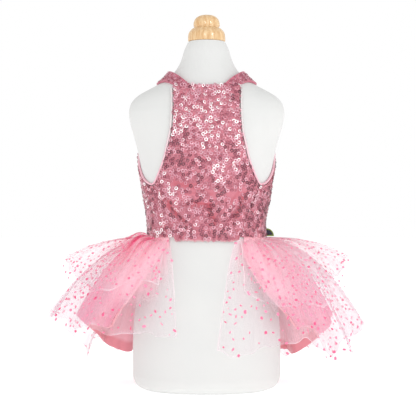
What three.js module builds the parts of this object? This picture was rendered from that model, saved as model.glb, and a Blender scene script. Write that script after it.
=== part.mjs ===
// A small dog's tutu dress, worn on a limbless dress form with a turned wooden neck cap.
// The sequinned halter bodice has a chest panel with an elastic hem, a back panel and two straps.
// Its skirt is a lining, a pink net and two tiers of dotted net, all left open at the belly.
// Millimetres, +Z up. The origin is the centre of the form's flat base, and the chest faces -Y.
import * as THREE from "three";

// Cloth thicknesses and the gaps that keep one piece clear of the next
const BODICE_WALL = 1.2;
const NET_WALL = 1.0;
const BINDING_WALL = 1.5;
const CLOTH_CLEARANCE = 1;
const SEAM_GAP = 0.3;
const TIER_GAP = 0.7;

// Heights on the form
const NECK_TOP = 380;
const NECK_EDGE = 329;
const BACK_NECK_EDGE = 322;
const ARMHOLE_BOTTOM = 221;
const BACK_HEM = 166.5;
const CHEST_HEM = 162;
const WAIST_SEAM = 159;
const SEAM_BOTTOM = 155;
const SEAM_TOP = 170;
const SEAM_CLEARANCE = 0.6;

// Side seams, as the angle round the form from the middle of the chest
const SEAM_ANGLE_AT_HEM = 31.7;
const SEAM_ANGLE_AT_ARMHOLE = 52.9;

// Neck cap
const CAP_RING_RADIUS = 20.6;
const CAP_KNOB_RADIUS = 14.6;
const CAP_HEIGHT = 29.7;

// Straps, bindings and label
const STRAP_STEPS = 12;
const BINDING_WIDTH = 2.2;
const BINDING_GAP = 0.7;
const BINDING_STEPS = 14;
const LABEL_HEIGHT = 8.6;
const LABEL_REACH = 8.2;
const LABEL_WALL = 1.2;
const LABEL_STAND = 1.9;

// Gathers along the skirt's waist seam, and the wider flutes they open into at the hems.
// Every tier has the same ones, one over the next.
const SKIRT_START_ANGLE = 37.3;
const SKIRT_END_ANGLE = 329.5;
const GATHERS = 28;
const COLUMNS_PER_GATHER = 3;
const SKIRT_COLUMNS = GATHERS * COLUMNS_PER_GATHER;
const GATHER_DEPTH = 1.2;
const SEAM_STAND = 3;
const FLUTES = 14;
const FLUTE_DEPTH = 4.5;
const FLUTE_REACH = 120;

// The dress form's horizontal sections, each a superellipse
const FORM_SEGMENTS = 36;
const FORM_SECTIONS = [
  { z: 0, halfWidth: 68, halfDepth: 46, squareness: 2.2 },
  { z: 3, halfWidth: 75, halfDepth: 53, squareness: 2.2 },
  { z: 8, halfWidth: 79, halfDepth: 57, squareness: 2.2 },
  { z: 16, halfWidth: 81, halfDepth: 59, squareness: 2.2 },
  { z: 45, halfWidth: 81, halfDepth: 59.5, squareness: 2.2 },
  { z: 75, halfWidth: 79.7, halfDepth: 58, squareness: 2.2 },
  { z: 100, halfWidth: 76, halfDepth: 56, squareness: 2.2 },
  { z: 125, halfWidth: 70, halfDepth: 52, squareness: 2.2 },
  { z: 150, halfWidth: 64, halfDepth: 48, squareness: 2.2 },
  { z: 161, halfWidth: 62.2, halfDepth: 46.6, squareness: 2.2 },
  { z: 172, halfWidth: 61.5, halfDepth: 46, squareness: 2.2 },
  { z: 183, halfWidth: 61.9, halfDepth: 46.2, squareness: 2.2 },
  { z: 195, halfWidth: 63, halfDepth: 47, squareness: 2.2 },
  { z: 215, halfWidth: 66.5, halfDepth: 49.5, squareness: 2.2 },
  { z: 235, halfWidth: 70.5, halfDepth: 51, squareness: 2.2 },
  { z: 255, halfWidth: 74.5, halfDepth: 50, squareness: 2.2 },
  { z: 275, halfWidth: 79.5, halfDepth: 47, squareness: 2.25 },
  { z: 290, halfWidth: 83.8, halfDepth: 44, squareness: 2.3 },
  { z: 302, halfWidth: 85.4, halfDepth: 41.5, squareness: 2.3 },
  { z: 310, halfWidth: 84, halfDepth: 39.5, squareness: 2.25 },
  { z: 316, halfWidth: 80.5, halfDepth: 38, squareness: 2.2 },
  { z: 321, halfWidth: 75, halfDepth: 36.5, squareness: 2.15 },
  { z: 326, halfWidth: 66.5, halfDepth: 35, squareness: 2.1 },
  { z: 331, halfWidth: 57, halfDepth: 33.5, squareness: 2.05 },
  { z: 336, halfWidth: 48.5, halfDepth: 32, squareness: 2 },
  { z: 342, halfWidth: 40.5, halfDepth: 30.5, squareness: 2 },
  { z: 350, halfWidth: 33, halfDepth: 28.5, squareness: 2 },
  { z: 360, halfWidth: 28, halfDepth: 26, squareness: 2 },
  { z: 371, halfWidth: 24.6, halfDepth: 23.5, squareness: 2 },
  { z: NECK_TOP, halfWidth: 20.4, halfDepth: 20.4, squareness: 2 },
];

// Half the chest panel's width between its armhole edges
const CHEST_WIDTHS = [
  { z: ARMHOLE_BOTTOM, halfWidth: 54.9 },
  { z: 227.4, halfWidth: 51.5 },
  { z: 235, halfWidth: 48.3 },
  { z: 247.5, halfWidth: 43.5 },
  { z: 264.4, halfWidth: 39.7 },
  { z: 280, halfWidth: 36.5 },
  { z: 293, halfWidth: 35.5 },
  { z: 310, halfWidth: 35 },
  { z: NECK_EDGE, halfWidth: 35.5 },
];

// The chest panel's creases, seen from the front: ridges have a positive height, troughs a negative one
const CHEST_FOLDS = [
  { fromX: -49, fromZ: 213, toX: -34, toZ: 178, height: 1.5, width: 4 },
  { fromX: -42, fromZ: 206, toX: -24, toZ: 184, height: -1.6, width: 4 },
  { fromX: -33, fromZ: 199, toX: -9, toZ: 177, height: 1.6, width: 4 },
  { fromX: -31, fromZ: 214, toX: 13, toZ: 211, height: 1.3, width: 6 },
  { fromX: -34, fromZ: 226, toX: -8, toZ: 221, height: -0.9, width: 4 },
  { fromX: -23, fromZ: 203, toX: 4, toZ: 200, height: -1.2, width: 4.5 },
  { fromX: 17, fromZ: 216, toX: 14, toZ: 180, height: 1.6, width: 4 },
  { fromX: 3, fromZ: 198, toX: 8, toZ: 181, height: -1.4, width: 4 },
  { fromX: 39, fromZ: 212, toX: 27, toZ: 182, height: -1.7, width: 4 },
  { fromX: 46, fromZ: 209, toX: 33, toZ: 178, height: 1.3, width: 4 },
  { fromX: 31, fromZ: 219, toX: 23, toZ: 190, height: 1.1, width: 4 },
];

// The back panel from a side seam to the middle of the back: where each upright line of the cloth
// starts at the hem, and where it ends on the armhole or the neck edge
const BACK_LINES = [
  { hemAngle: SEAM_ANGLE_AT_HEM, topAngle: SEAM_ANGLE_AT_ARMHOLE, topZ: ARMHOLE_BOTTOM },
  { hemAngle: 44, topAngle: 64, topZ: 223 },
  { hemAngle: 57, topAngle: 78, topZ: 231 },
  { hemAngle: 70, topAngle: 90, topZ: 243 },
  { hemAngle: 83, topAngle: 102, topZ: 256 },
  { hemAngle: 96, topAngle: 114, topZ: 269 },
  { hemAngle: 109, topAngle: 126, topZ: 283 },
  { hemAngle: 121, topAngle: 136, topZ: 298 },
  { hemAngle: 132, topAngle: 143.6, topZ: BACK_NECK_EDGE },
  { hemAngle: 144, topAngle: 152, topZ: BACK_NECK_EDGE },
  { hemAngle: 156, topAngle: 161, topZ: 321 },
  { hemAngle: 168, topAngle: 170, topZ: 320.3 },
  { hemAngle: 180, topAngle: 180, topZ: 320 },
].map((line, index) => ({ index, ...line }));
const BACK_ARMHOLE_LINES = 8;

// The straps' two edges over a shoulder, inner and outer, from the chest panel to the back panel
const STRAP_EDGES = [
  { share: 0, innerX: 18.5, outerX: 35.2, y: -34, innerZ: NECK_EDGE, outerZ: NECK_EDGE },
  { share: 0.25, innerX: 29.5, outerX: 46.5, y: -21, innerZ: 338, outerZ: 334 },
  { share: 0.5, innerX: 38.5, outerX: 54.5, y: 0, innerZ: 344, outerZ: 333 },
  { share: 0.75, innerX: 36, outerX: 53, y: 19, innerZ: 336, outerZ: 328 },
  { share: 1, innerX: 30, outerX: 46, y: 33, innerZ: BACK_NECK_EDGE, outerZ: BACK_NECK_EDGE },
];

// Skirt tiers. Each row is one line of the cloth from the waist to the hem: its angle at the waist,
// the direction it flares in, how far out and down its hem hangs, and how its drop grows with its
// reach: 1 falls straight, more starts flat and then drops, less drops first and then kicks out.
const SKIRT_LINES = [
  { angle: SKIRT_START_ANGLE, flare: 64, reach: 54, drop: 70, fall: 0.9 },
  { angle: 52, flare: 72, reach: 62, drop: 82, fall: 1.3 },
  { angle: 65, flare: 80, reach: 69, drop: 88, fall: 1.7 },
  { angle: 78, flare: 86, reach: 72, drop: 81, fall: 2 },
  { angle: 90, flare: 92, reach: 72, drop: 76, fall: 2 },
  { angle: 102, flare: 100, reach: 70, drop: 92, fall: 1.9 },
  { angle: 115, flare: 114, reach: 65, drop: 112, fall: 1.7 },
  { angle: 130, flare: 130, reach: 60, drop: 123, fall: 1.5 },
  { angle: 150, flare: 150, reach: 58, drop: 127, fall: 1.4 },
  { angle: 180, flare: 180, reach: 60, drop: 129, fall: 1.4 },
  { angle: 210, flare: 210, reach: 58, drop: 127, fall: 1.4 },
  { angle: 230, flare: 230, reach: 60, drop: 123, fall: 1.5 },
  { angle: 245, flare: 246, reach: 64, drop: 112, fall: 1.7 },
  { angle: 258, flare: 260, reach: 68, drop: 94, fall: 1.9 },
  { angle: 270, flare: 268, reach: 69, drop: 82, fall: 2 },
  { angle: 282, flare: 274, reach: 68, drop: 85, fall: 2 },
  { angle: 296, flare: 280, reach: 65, drop: 95, fall: 1.5 },
  { angle: 310, flare: 286, reach: 58, drop: 90, fall: 1 },
  { angle: SKIRT_END_ANGLE, flare: 293, reach: 53, drop: 78, fall: 0.65 },
];
const LONG_TIER_LINES = [
  { angle: SKIRT_START_ANGLE, flare: -17, reach: 29, drop: 95, fall: 2 },
  { angle: 46, flare: 22, reach: 38, drop: 93, fall: 1.9 },
  { angle: 54, flare: 47, reach: 62, drop: 92, fall: 1.7 },
  { angle: 65, flare: 66, reach: 82, drop: 88, fall: 1.7 },
  { angle: 78, flare: 81, reach: 97, drop: 80, fall: 1.9 },
  { angle: 89, flare: 89, reach: 103, drop: 78, fall: 2 },
  { angle: 99, flare: 97, reach: 107, drop: 92, fall: 1.9 },
  { angle: 106, flare: 104, reach: 88, drop: 106, fall: 1.8 },
  { angle: 114, flare: 112, reach: 82, drop: 136, fall: 1.8 },
  { angle: 123, flare: 122, reach: 80, drop: 116, fall: 1.7 },
  { angle: 140, flare: 140, reach: 78, drop: 134, fall: 1.6 },
  { angle: 158, flare: 158, reach: 88, drop: 114, fall: 1.7 },
  { angle: 180, flare: 180, reach: 80, drop: 138, fall: 1.6 },
  { angle: 202, flare: 202, reach: 88, drop: 116, fall: 1.7 },
  { angle: 220, flare: 220, reach: 78, drop: 136, fall: 1.6 },
  { angle: 236, flare: 237, reach: 80, drop: 122, fall: 1.7 },
  { angle: 247, flare: 249, reach: 80, drop: 134, fall: 1.8 },
  { angle: 258, flare: 261, reach: 108, drop: 100, fall: 1.9 },
  { angle: 270, flare: 270, reach: 100, drop: 94, fall: 2 },
  { angle: 282, flare: 280, reach: 90, drop: 116, fall: 1.9 },
  { angle: 295, flare: 290, reach: 82, drop: 122, fall: 1.9 },
  { angle: 308, flare: 312, reach: 56, drop: 112, fall: 1.7 },
  { angle: 317, flare: 338, reach: 38, drop: 107, fall: 1.9 },
  { angle: SKIRT_END_ANGLE, flare: 398, reach: 32, drop: 106, fall: 2 },
];
const SHORT_TIER_LINES = [
  { angle: SKIRT_START_ANGLE, flare: 14, reach: 27, drop: 46, fall: 1.9 },
  { angle: 50, flare: 46, reach: 46, drop: 54, fall: 1.8 },
  { angle: 63, flare: 68, reach: 70, drop: 50, fall: 2.1 },
  { angle: 76, flare: 80, reach: 86, drop: 40, fall: 2.5 },
  { angle: 88, flare: 89, reach: 88, drop: 18, fall: 3 },
  { angle: 100, flare: 98, reach: 87, drop: 32, fall: 2.6 },
  { angle: 114, flare: 113, reach: 76, drop: 54, fall: 2 },
  { angle: 130, flare: 130, reach: 76, drop: 42, fall: 1.9 },
  { angle: 148, flare: 148, reach: 70, drop: 60, fall: 1.8 },
  { angle: 164, flare: 164, reach: 76, drop: 44, fall: 1.8 },
  { angle: 180, flare: 180, reach: 70, drop: 62, fall: 1.8 },
  { angle: 196, flare: 196, reach: 76, drop: 44, fall: 1.8 },
  { angle: 212, flare: 212, reach: 70, drop: 60, fall: 1.8 },
  { angle: 230, flare: 230, reach: 76, drop: 42, fall: 1.9 },
  { angle: 246, flare: 247, reach: 76, drop: 54, fall: 2 },
  { angle: 259, flare: 261, reach: 85, drop: 34, fall: 2.6 },
  { angle: 271, flare: 271, reach: 86, drop: 20, fall: 2.8 },
  { angle: 284, flare: 281, reach: 80, drop: 52, fall: 2.2 },
  { angle: 298, flare: 293, reach: 68, drop: 66, fall: 1.9 },
  { angle: 312, flare: 316, reach: 42, drop: 66, fall: 1.7 },
  { angle: SKIRT_END_ANGLE, flare: 352, reach: 26, drop: 50, fall: 1.9 },
];
const TIERS = [
  { name: "skirt_lining", lines: SKIRT_LINES, layer: 1, inset: 1.6, rows: 6, colour: 0xd98a98 },
  { name: "skirt_pink_net", lines: SKIRT_LINES, layer: 1, inset: 0, rows: 6, colour: 0xf4a3ba },
  { name: "skirt_dotted_net_long", lines: LONG_TIER_LINES, layer: 2, inset: 0, rows: 6, colour: 0xf7e6ea },
  { name: "skirt_dotted_net_short", lines: SHORT_TIER_LINES, layer: 3, inset: 0, rows: 5, colour: 0xf7e6ea },
];

const radians = THREE.MathUtils.degToRad;
const lerp = THREE.MathUtils.lerp;

// A table's column at a value of its key, on a smooth curve that doesn't overshoot the rows
function read(table, key, column, at) {
  const last = table.length - 1;
  if (at <= table[0][key]) return table[0][column];
  if (at >= table[last][key]) return table[last][column];
  let i = 0;
  while (at > table[i + 1][key]) i++;
  const width = (j) => table[j + 1][key] - table[j][key];
  const slope = (j) => (table[j + 1][column] - table[j][column]) / width(j);
  const tangent = (j) => {
    if (j === 0) return slope(0);
    if (j === last) return slope(last - 1);
    const before = slope(j - 1);
    const after = slope(j);
    return before * after <= 0 ? 0 : (2 * before * after) / (before + after);
  };
  const t = (at - table[i][key]) / width(i);
  const rise = t * t * (3 - 2 * t);
  return (
    lerp(table[i][column], table[i + 1][column], rise) +
    width(i) * (t * (1 - t) * (1 - t) * tangent(i) - t * t * (1 - t) * tangent(i + 1))
  );
}

const power = (value, exponent) => Math.sign(value) * Math.abs(value) ** exponent;
const formSize = (column, z) => read(FORM_SECTIONS, "z", column, z);

// A point of the form's surface, from its angle round the form and its height.
// Angle 0 is the middle of the chest, 90 the -X side, 180 the back and 270 the +X side.
function formPoint(angle, z) {
  const exponent = 2 / formSize("squareness", z);
  return new THREE.Vector3(
    -formSize("halfWidth", z) * power(Math.sin(radians(angle)), exponent),
    -formSize("halfDepth", z) * power(Math.cos(radians(angle)), exponent),
    z,
  );
}

// The angle at which the form's surface is that far from the middle, at a height
function angleOfHalfWidth(halfWidth, z) {
  const share = (halfWidth / formSize("halfWidth", z)) ** (formSize("squareness", z) / 2);
  return THREE.MathUtils.radToDeg(Math.asin(share));
}

// How far out a point is, as a share of the form's section there: 1 is on the surface
function formShare({ x, y, z }) {
  const n = formSize("squareness", z);
  const across = Math.abs(x / formSize("halfWidth", z)) ** n;
  const through = Math.abs(y / formSize("halfDepth", z)) ** n;
  return (across + through) ** (1 / n);
}

function formSlope(point) {
  const step = 0.05;
  const slope = new THREE.Vector3();
  for (const axis of ["x", "y", "z"]) {
    const ahead = point.clone();
    const behind = point.clone();
    ahead[axis] += step;
    behind[axis] -= step;
    slope[axis] = (formShare(ahead) - formShare(behind)) / (2 * step);
  }
  return slope;
}

const formNormal = (point) => formSlope(point).normalize();
const formDistance = (point) => (formShare(point) - 1) / formSlope(point).length();

// The point moved along the form's normal until it is that far off the form
function seat(point, away) {
  const seated = point.clone();
  for (let pass = 0; pass < 4; pass++) {
    seated.addScaledVector(formNormal(seated), away - formDistance(seated));
  }
  return seated;
}

const keepOff = (point, least) => (formDistance(point) < least ? seat(point, least) : point);

function geometryOf(positions, faces) {
  const volume = faces.reduce((sum, _, i) => {
    if (i % 3) return sum;
    const [a, b, c] = [0, 1, 2].map((k) => new THREE.Vector3(...positions[faces[i + k]]));
    return sum + a.dot(b.cross(c));
  }, 0);
  if (volume < 0) faces.reverse();
  const geometry = new THREE.BufferGeometry();
  geometry.setAttribute("position", new THREE.Float32BufferAttribute(positions.flat(), 3));
  geometry.setIndex(faces);
  geometry.computeVertexNormals();
  return geometry;
}

// A closed wall between two grids of points of the same size, each a list of rows
function wallBetween(inner, outer) {
  const rows = inner.length - 1;
  const columns = inner[0].length - 1;
  const positions = [inner, outer].flatMap((grid) => grid.flat().map((p) => p.toArray()));
  const at = (side, i, j) => (side * (rows + 1) + i) * (columns + 1) + j;
  const faces = [];
  const quad = (a, b, c, d) => faces.push(a, b, c, a, c, d);
  for (let i = 0; i < rows; i++) {
    for (let j = 0; j < columns; j++) {
      quad(at(1, i, j), at(1, i, j + 1), at(1, i + 1, j + 1), at(1, i + 1, j));
      quad(at(0, i, j), at(0, i + 1, j), at(0, i + 1, j + 1), at(0, i, j + 1));
    }
    quad(at(1, i, 0), at(1, i + 1, 0), at(0, i + 1, 0), at(0, i, 0));
    quad(at(1, i + 1, columns), at(1, i, columns), at(0, i, columns), at(0, i + 1, columns));
  }
  for (let j = 0; j < columns; j++) {
    quad(at(0, 0, j), at(0, 0, j + 1), at(1, 0, j + 1), at(1, 0, j));
    quad(at(0, rows, j + 1), at(0, rows, j), at(1, rows, j), at(1, rows, j + 1));
  }
  return geometryOf(positions, faces);
}

// A grid of points, with the rows and columns given as lists of shares or heights
const gridOf = (rowValues, columnValues, pointAt) =>
  rowValues.map((row) => columnValues.map((column) => pointAt(column, row)));

const spread = (from, to, steps) =>
  Array.from({ length: steps + 1 }, (_, i) => lerp(from, to, i / steps));

// The wall of a panel that lies on the form. pointAt gives its line on the form, liftAt its folds.
function panelWall(rowValues, columnValues, wall, pointAt, liftAt) {
  const side = (extra) =>
    gridOf(rowValues, columnValues, (column, row) => {
      const point = pointAt(column, row);
      return seat(point, CLOTH_CLEARANCE + liftAt(column, row, point) + extra);
    });
  return wallBetween(side(0), side(wall));
}

function dressForm() {
  const rings = FORM_SECTIONS.map(({ z }) =>
    spread(0, 360, FORM_SEGMENTS)
      .slice(0, FORM_SEGMENTS)
      .map((angle) => formPoint(angle, z).toArray()),
  );
  const positions = [...rings.flat(), [0, 0, 0], [0, 0, NECK_TOP]];
  const bottom = positions.length - 2;
  const top = positions.length - 1;
  const at = (i, j) => i * FORM_SEGMENTS + (j % FORM_SEGMENTS);
  const faces = [];
  for (let j = 0; j < FORM_SEGMENTS; j++) {
    for (let i = 0; i < rings.length - 1; i++) {
      faces.push(at(i, j), at(i, j + 1), at(i + 1, j + 1));
      faces.push(at(i, j), at(i + 1, j + 1), at(i + 1, j));
    }
    faces.push(bottom, at(0, j + 1), at(0, j));
    faces.push(top, at(rings.length - 1, j), at(rings.length - 1, j + 1));
  }
  return geometryOf(positions, faces);
}

// The cap turns on the neck's axis: a wide ring with a rounded shoulder, and a domed knob
function neckCap() {
  const ring = CAP_RING_RADIUS;
  const knob = CAP_KNOB_RADIUS;
  const profile = [
    [0, 0], [ring - 1, 0], [ring, 1.2], [ring - 0.2, 7], [ring - 1.6, 11], [ring - 4.2, 14],
    [knob - 0.3, 15.4], [knob, 18], [knob - 0.6, 22.4], [knob - 3.4, 26.8],
    [knob - 9, CAP_HEIGHT - 0.6], [0, CAP_HEIGHT],
  ];
  const points = profile.map(([radius, height]) => new THREE.Vector2(radius, height));
  const cap = new THREE.LatheGeometry(points, 24);
  cap.rotateX(Math.PI / 2);
  cap.translate(0, 0, NECK_TOP + SEAM_GAP);
  return cap;
}

// Height of the chest panel's creases at a point of it
function foldLift(x, z) {
  return CHEST_FOLDS.reduce((lift, fold) => {
    const along = new THREE.Vector2(fold.toX - fold.fromX, fold.toZ - fold.fromZ);
    const from = new THREE.Vector2(x - fold.fromX, z - fold.fromZ);
    const share = THREE.MathUtils.clamp(from.dot(along) / along.lengthSq(), 0, 1);
    const distance = from.addScaledVector(along, -share).length();
    return lift + fold.height * Math.exp(-((distance / fold.width) ** 2));
  }, 0);
}

const seamAngle = (z) =>
  lerp(
    SEAM_ANGLE_AT_HEM,
    SEAM_ANGLE_AT_ARMHOLE,
    (z - BACK_HEM) / (ARMHOLE_BOTTOM - BACK_HEM),
  );

// Half the gap at a side seam, as an angle
const SEAM_GAP_ANGLE = 0.35;

// The angle of the chest panel's side edge: the side seam below the armhole, its own edge above
function chestEdgeAngle(z) {
  if (z <= ARMHOLE_BOTTOM) return seamAngle(z) - SEAM_GAP_ANGLE;
  const edge = angleOfHalfWidth(read(CHEST_WIDTHS, "z", "halfWidth", z), z);
  return edge - SEAM_GAP_ANGLE;
}

// The elastic hem draws the chest panel in. Above it the cloth stands off the body in folds.
function chestPanel() {
  const puckers = 9;
  const puckerHeight = 0.5;
  const standOff = 2.3;
  const heights = [
    ...spread(CHEST_HEM, ARMHOLE_BOTTOM, 11),
    ...spread(ARMHOLE_BOTTOM, NECK_EDGE, 10).slice(1),
  ];
  const pointAt = (share, z) => formPoint(share * chestEdgeAngle(z), z);
  const liftAt = (share, z, { x }) => {
    const bag = Math.exp(-(((z - 197) / 20) ** 2)) * (1 - share ** 6);
    const hem = Math.exp(-(((z - CHEST_HEM) / 6) ** 2));
    const pucker = puckerHeight * (1 + Math.cos(Math.PI * puckers * share)) * hem;
    return bag * (standOff + foldLift(x, z)) + pucker;
  };
  return panelWall(heights, spread(-1, 1, 24), BODICE_WALL, pointAt, liftAt);
}

// A point of the back panel: line runs from 0 at the -X seam to 24 at the +X seam
function backPoint(line, height) {
  const middle = BACK_LINES.length - 1;
  const mirrored = line > middle;
  const from = mirrored ? 2 * middle - line : line;
  const hemAngle = read(BACK_LINES, "index", "hemAngle", from);
  const topAngle = read(BACK_LINES, "index", "topAngle", from);
  const topZ = read(BACK_LINES, "index", "topZ", from);
  const angle = lerp(hemAngle, topAngle, height) + SEAM_GAP_ANGLE * (1 - from / middle);
  return formPoint(mirrored ? 360 - angle : angle, lerp(BACK_HEM, topZ, height));
}

// The lines of the back panel that get a column of vertices, closest at the shoulder
const backColumns = () => [
  ...spread(0, 6, 8),
  ...spread(6, 9, 6).slice(1),
  ...spread(9, BACK_LINES.length - 1, 4).slice(1),
];

function backPanel() {
  const lastLine = 2 * (BACK_LINES.length - 1);
  const hemFlare = 1.6;
  const sideBag = 1.3;
  const armholeFlare = 0.8;
  const liftAt = (line, height, { z }) => {
    const fromSeam = Math.min(line, lastLine - line);
    const bag = Math.exp(-(((z - 208) / 22) ** 2)) * Math.exp(-(((fromSeam - 4) / 3) ** 2));
    const armhole = height ** 4 * Math.exp(-(((fromSeam - 3) / 3) ** 2));
    return hemFlare * Math.exp(-height / 0.12) + sideBag * bag + armholeFlare * armhole;
  };
  const heights = [...spread(0, 0.7, 6), ...spread(0.7, 1, 4).slice(1)];
  const half = backColumns();
  const otherHalf = half.slice(0, -1).reverse();
  const columns = [...half, ...otherHalf.map((line) => lastLine - line)];
  return panelWall(heights, columns, BODICE_WALL, backPoint, liftAt);
}

// One strap over a shoulder. side is -1 for the -X shoulder and 1 for the +X one.
function strap(side) {
  const rootGap = 0.5;
  const roots = STRAP_EDGES.map((row, i) => ({
    ...row,
    innerZ: row.innerZ + (i === 0 || i === STRAP_EDGES.length - 1 ? rootGap : 0),
    outerZ: row.outerZ + (i === 0 || i === STRAP_EDGES.length - 1 ? rootGap : 0),
  }));
  const edge = (name) =>
    new THREE.CatmullRomCurve3(
      roots.map((row) => {
        const x = side * row[name + "X"];
        const z = row[name + "Z"];
        if (row.y === 0) return new THREE.Vector3(x, 0, z);
        const angle = angleOfHalfWidth(Math.abs(x), z);
        const onForm = formPoint(side < 0 ? angle : -angle, z);
        return new THREE.Vector3(x, Math.sign(row.y) * Math.abs(onForm.y), z);
      }),
      false,
      "centripetal",
    );
  const edges = [edge("inner"), edge("outer")];
  const pointAt = (across, along) =>
    edges[0].getPoint(along).lerp(edges[1].getPoint(along), across);
  const liftAt = (across, along) => 0.9 * Math.sin(Math.PI * along) * (1 - across / 2);
  return panelWall(spread(0, 1, STRAP_STEPS), spread(0, 1, 2), BODICE_WALL, pointAt, liftAt);
}

// A folded binding along one armhole: down the chest panel's edge, then up the back panel's
function armholeBinding(side) {
  const startBelowNeck = 2;
  const chest = spread(NECK_EDGE - startBelowNeck, ARMHOLE_BOTTOM, BINDING_STEPS).map((z) =>
    formPoint(chestEdgeAngle(z) + SEAM_GAP_ANGLE, z),
  );
  const back = backColumns()
    .filter((line) => line > 0 && line < BACK_ARMHOLE_LINES)
    .concat(BACK_ARMHOLE_LINES - 0.1)
    .map((line) => backPoint(line, 1));
  const path = [...chest, ...back].map((p) => p.setX(side * Math.abs(p.x)));
  const cloth = new THREE.CatmullRomCurve3(path, false, "centripetal");
  const pointAt = (across, along) => {
    const point = cloth.getPoint(along);
    const offCloth = cloth.getTangent(along).cross(formNormal(point)).multiplyScalar(-side);
    return point.addScaledVector(offCloth.normalize(), BINDING_GAP + across * BINDING_WIDTH);
  };
  const liftAt = (across, along) => 0.8 * Math.exp(-(((along - 0.62) / 0.14) ** 2));
  const steps = spread(0, 1, 2 * BINDING_STEPS);
  return panelWall(steps, [0, 1], BINDING_WALL, pointAt, liftAt);
}

// A point of the middle of a skirt tier's wall. drop runs from 0 at the waist to 1 at the hem.
// Each tier lies over the one before: on top of it where the skirt stands out, in front where it hangs.
function skirtPoint(tier, column, drop) {
  const angle = lerp(SKIRT_START_ANGLE, SKIRT_END_ANGLE, column / SKIRT_COLUMNS);
  const line = (name) => read(tier.lines, "angle", name, angle);
  const bend = Math.sqrt(line("fall"));
  const flare = radians(line("flare"));
  const outwards = new THREE.Vector3(-Math.sin(flare), -Math.cos(flare), 0);
  const path = (share) =>
    outwards
      .clone()
      .multiplyScalar(line("reach") * share ** (1 / bend))
      .setZ(-line("drop") * share ** bend);
  const step = 0.02;
  const along = path(drop + step).sub(path(Math.max(drop - step, 0)));
  const upwards = new THREE.Vector3(0, 0, 1).projectOnPlane(along.normalize()).normalize();
  const fromWaist = path(drop);
  const stack = tier.layer * (NET_WALL + TIER_GAP);
  const gather = Math.cos((2 * Math.PI * column) / COLUMNS_PER_GATHER) * (1 - drop) ** 2;
  const flute = Math.cos((2 * Math.PI * column * FLUTES) / SKIRT_COLUMNS);
  const fluteShare = (fromWaist.length() / FLUTE_REACH) ** 1.4;
  const lift = stack + GATHER_DEPTH * gather + FLUTE_DEPTH * fluteShare * flute;
  const away = CLOTH_CLEARANCE + NET_WALL / 2;
  const waist = seat(formPoint(angle, WAIST_SEAM), SEAM_STAND);
  return keepOff(waist.add(fromWaist).addScaledVector(upwards, lift), away + stack);
}

// Normals of a grid of points, from the points beside each one. They face away from the form.
function gridNormals(grid) {
  return grid.map((row, i) =>
    row.map((_, j) => {
      const down = grid[Math.min(i + 1, grid.length - 1)][j].clone();
      const across = row[Math.min(j + 1, row.length - 1)].clone();
      down.sub(grid[Math.max(i - 1, 0)][j]);
      across.sub(row[Math.max(j - 1, 0)]);
      return across.cross(down).normalize();
    }),
  );
}

// The turned-in seam allowances that join the bodice and the tiers, flat on the form behind the seam
function waistSeam() {
  const heights = [SEAM_BOTTOM, SEAM_TOP];
  const angles = spread(SKIRT_START_ANGLE, 360 - SKIRT_START_ANGLE, 40);
  return panelWall(heights, angles, NET_WALL, formPoint, () => SEAM_CLEARANCE - CLOTH_CLEARANCE);
}

function skirtTier(tier) {
  const drops = spread(0, 1, tier.rows).map((share) => share ** 1.6);
  const middle = gridOf(drops, spread(0, SKIRT_COLUMNS, SKIRT_COLUMNS), (column, drop) =>
    skirtPoint(tier, column, drop),
  );
  const normals = gridNormals(middle);
  const side = (offset) =>
    middle.map((row, i) => row.map((p, j) => p.clone().addScaledVector(normals[i][j], offset)));
  return wallBetween(side(-tier.inset - NET_WALL / 2), side(-tier.inset + NET_WALL / 2));
}

// A small blank label that stands out of the +X side, just above the skirt's seam
function sideLabel() {
  const shape = new THREE.Shape();
  shape.moveTo(0, 0);
  shape.lineTo(LABEL_REACH, 0);
  shape.absarc(0, 0, LABEL_REACH, 0, Math.PI / 2, false);
  shape.closePath();
  const label = new THREE.ExtrudeGeometry(shape, {
    depth: LABEL_WALL,
    bevelEnabled: false,
    curveSegments: 8,
  });
  label.rotateX(Math.PI / 2);
  label.scale(1, 1, LABEL_HEIGHT / LABEL_REACH);
  const root = formSize("halfWidth", BACK_HEM) + CLOTH_CLEARANCE + BODICE_WALL + LABEL_STAND;
  label.translate(root, LABEL_WALL / 2, BACK_HEM + SEAM_GAP);
  return label;
}

function mesh(name, geometry, color, roughness) {
  const made = new THREE.Mesh(
    geometry,
    new THREE.MeshStandardMaterial({ color, roughness, metalness: 0 }),
  );
  made.name = name;
  return made;
}

const SEQUINNED = 0xc97c8c;
const BINDING_PINK = 0xe8a5b0;

const form = new THREE.Group();
form.add(mesh("dress_form", dressForm(), 0xf0f0ef, 0.85));
form.add(mesh("neck_cap", neckCap(), 0xe9b878, 0.45));

const bodice = new THREE.Group();
bodice.add(mesh("chest_panel", chestPanel(), SEQUINNED, 0.5));
bodice.add(mesh("back_panel", backPanel(), SEQUINNED, 0.5));
bodice.add(mesh("strap_left", strap(-1), SEQUINNED, 0.6));
bodice.add(mesh("strap_right", strap(1), SEQUINNED, 0.6));
bodice.add(mesh("armhole_binding_left", armholeBinding(-1), BINDING_PINK, 0.7));
bodice.add(mesh("armhole_binding_right", armholeBinding(1), BINDING_PINK, 0.7));
bodice.add(mesh("side_label", sideLabel(), 0x23233a, 0.6));

const skirt = new THREE.Group();
skirt.add(mesh("waist_seam", waistSeam(), 0xd98a98, 0.8));
for (const tier of TIERS) {
  skirt.add(mesh(tier.name, skirtTier(tier), tier.colour, 0.8));
}

const dress = new THREE.Group();
dress.add(form, bodice, skirt);

export default dress;
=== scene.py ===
# The looks of a small dog's tutu dress on a limbless dress form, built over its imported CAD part.
# The sequinned bodice, the lining, the nets and the form follow the part's own sizes, repeated below
# in millimetres. Blender works in metres, in the same frame: +Z up, the chest facing -Y.
import math

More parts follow.
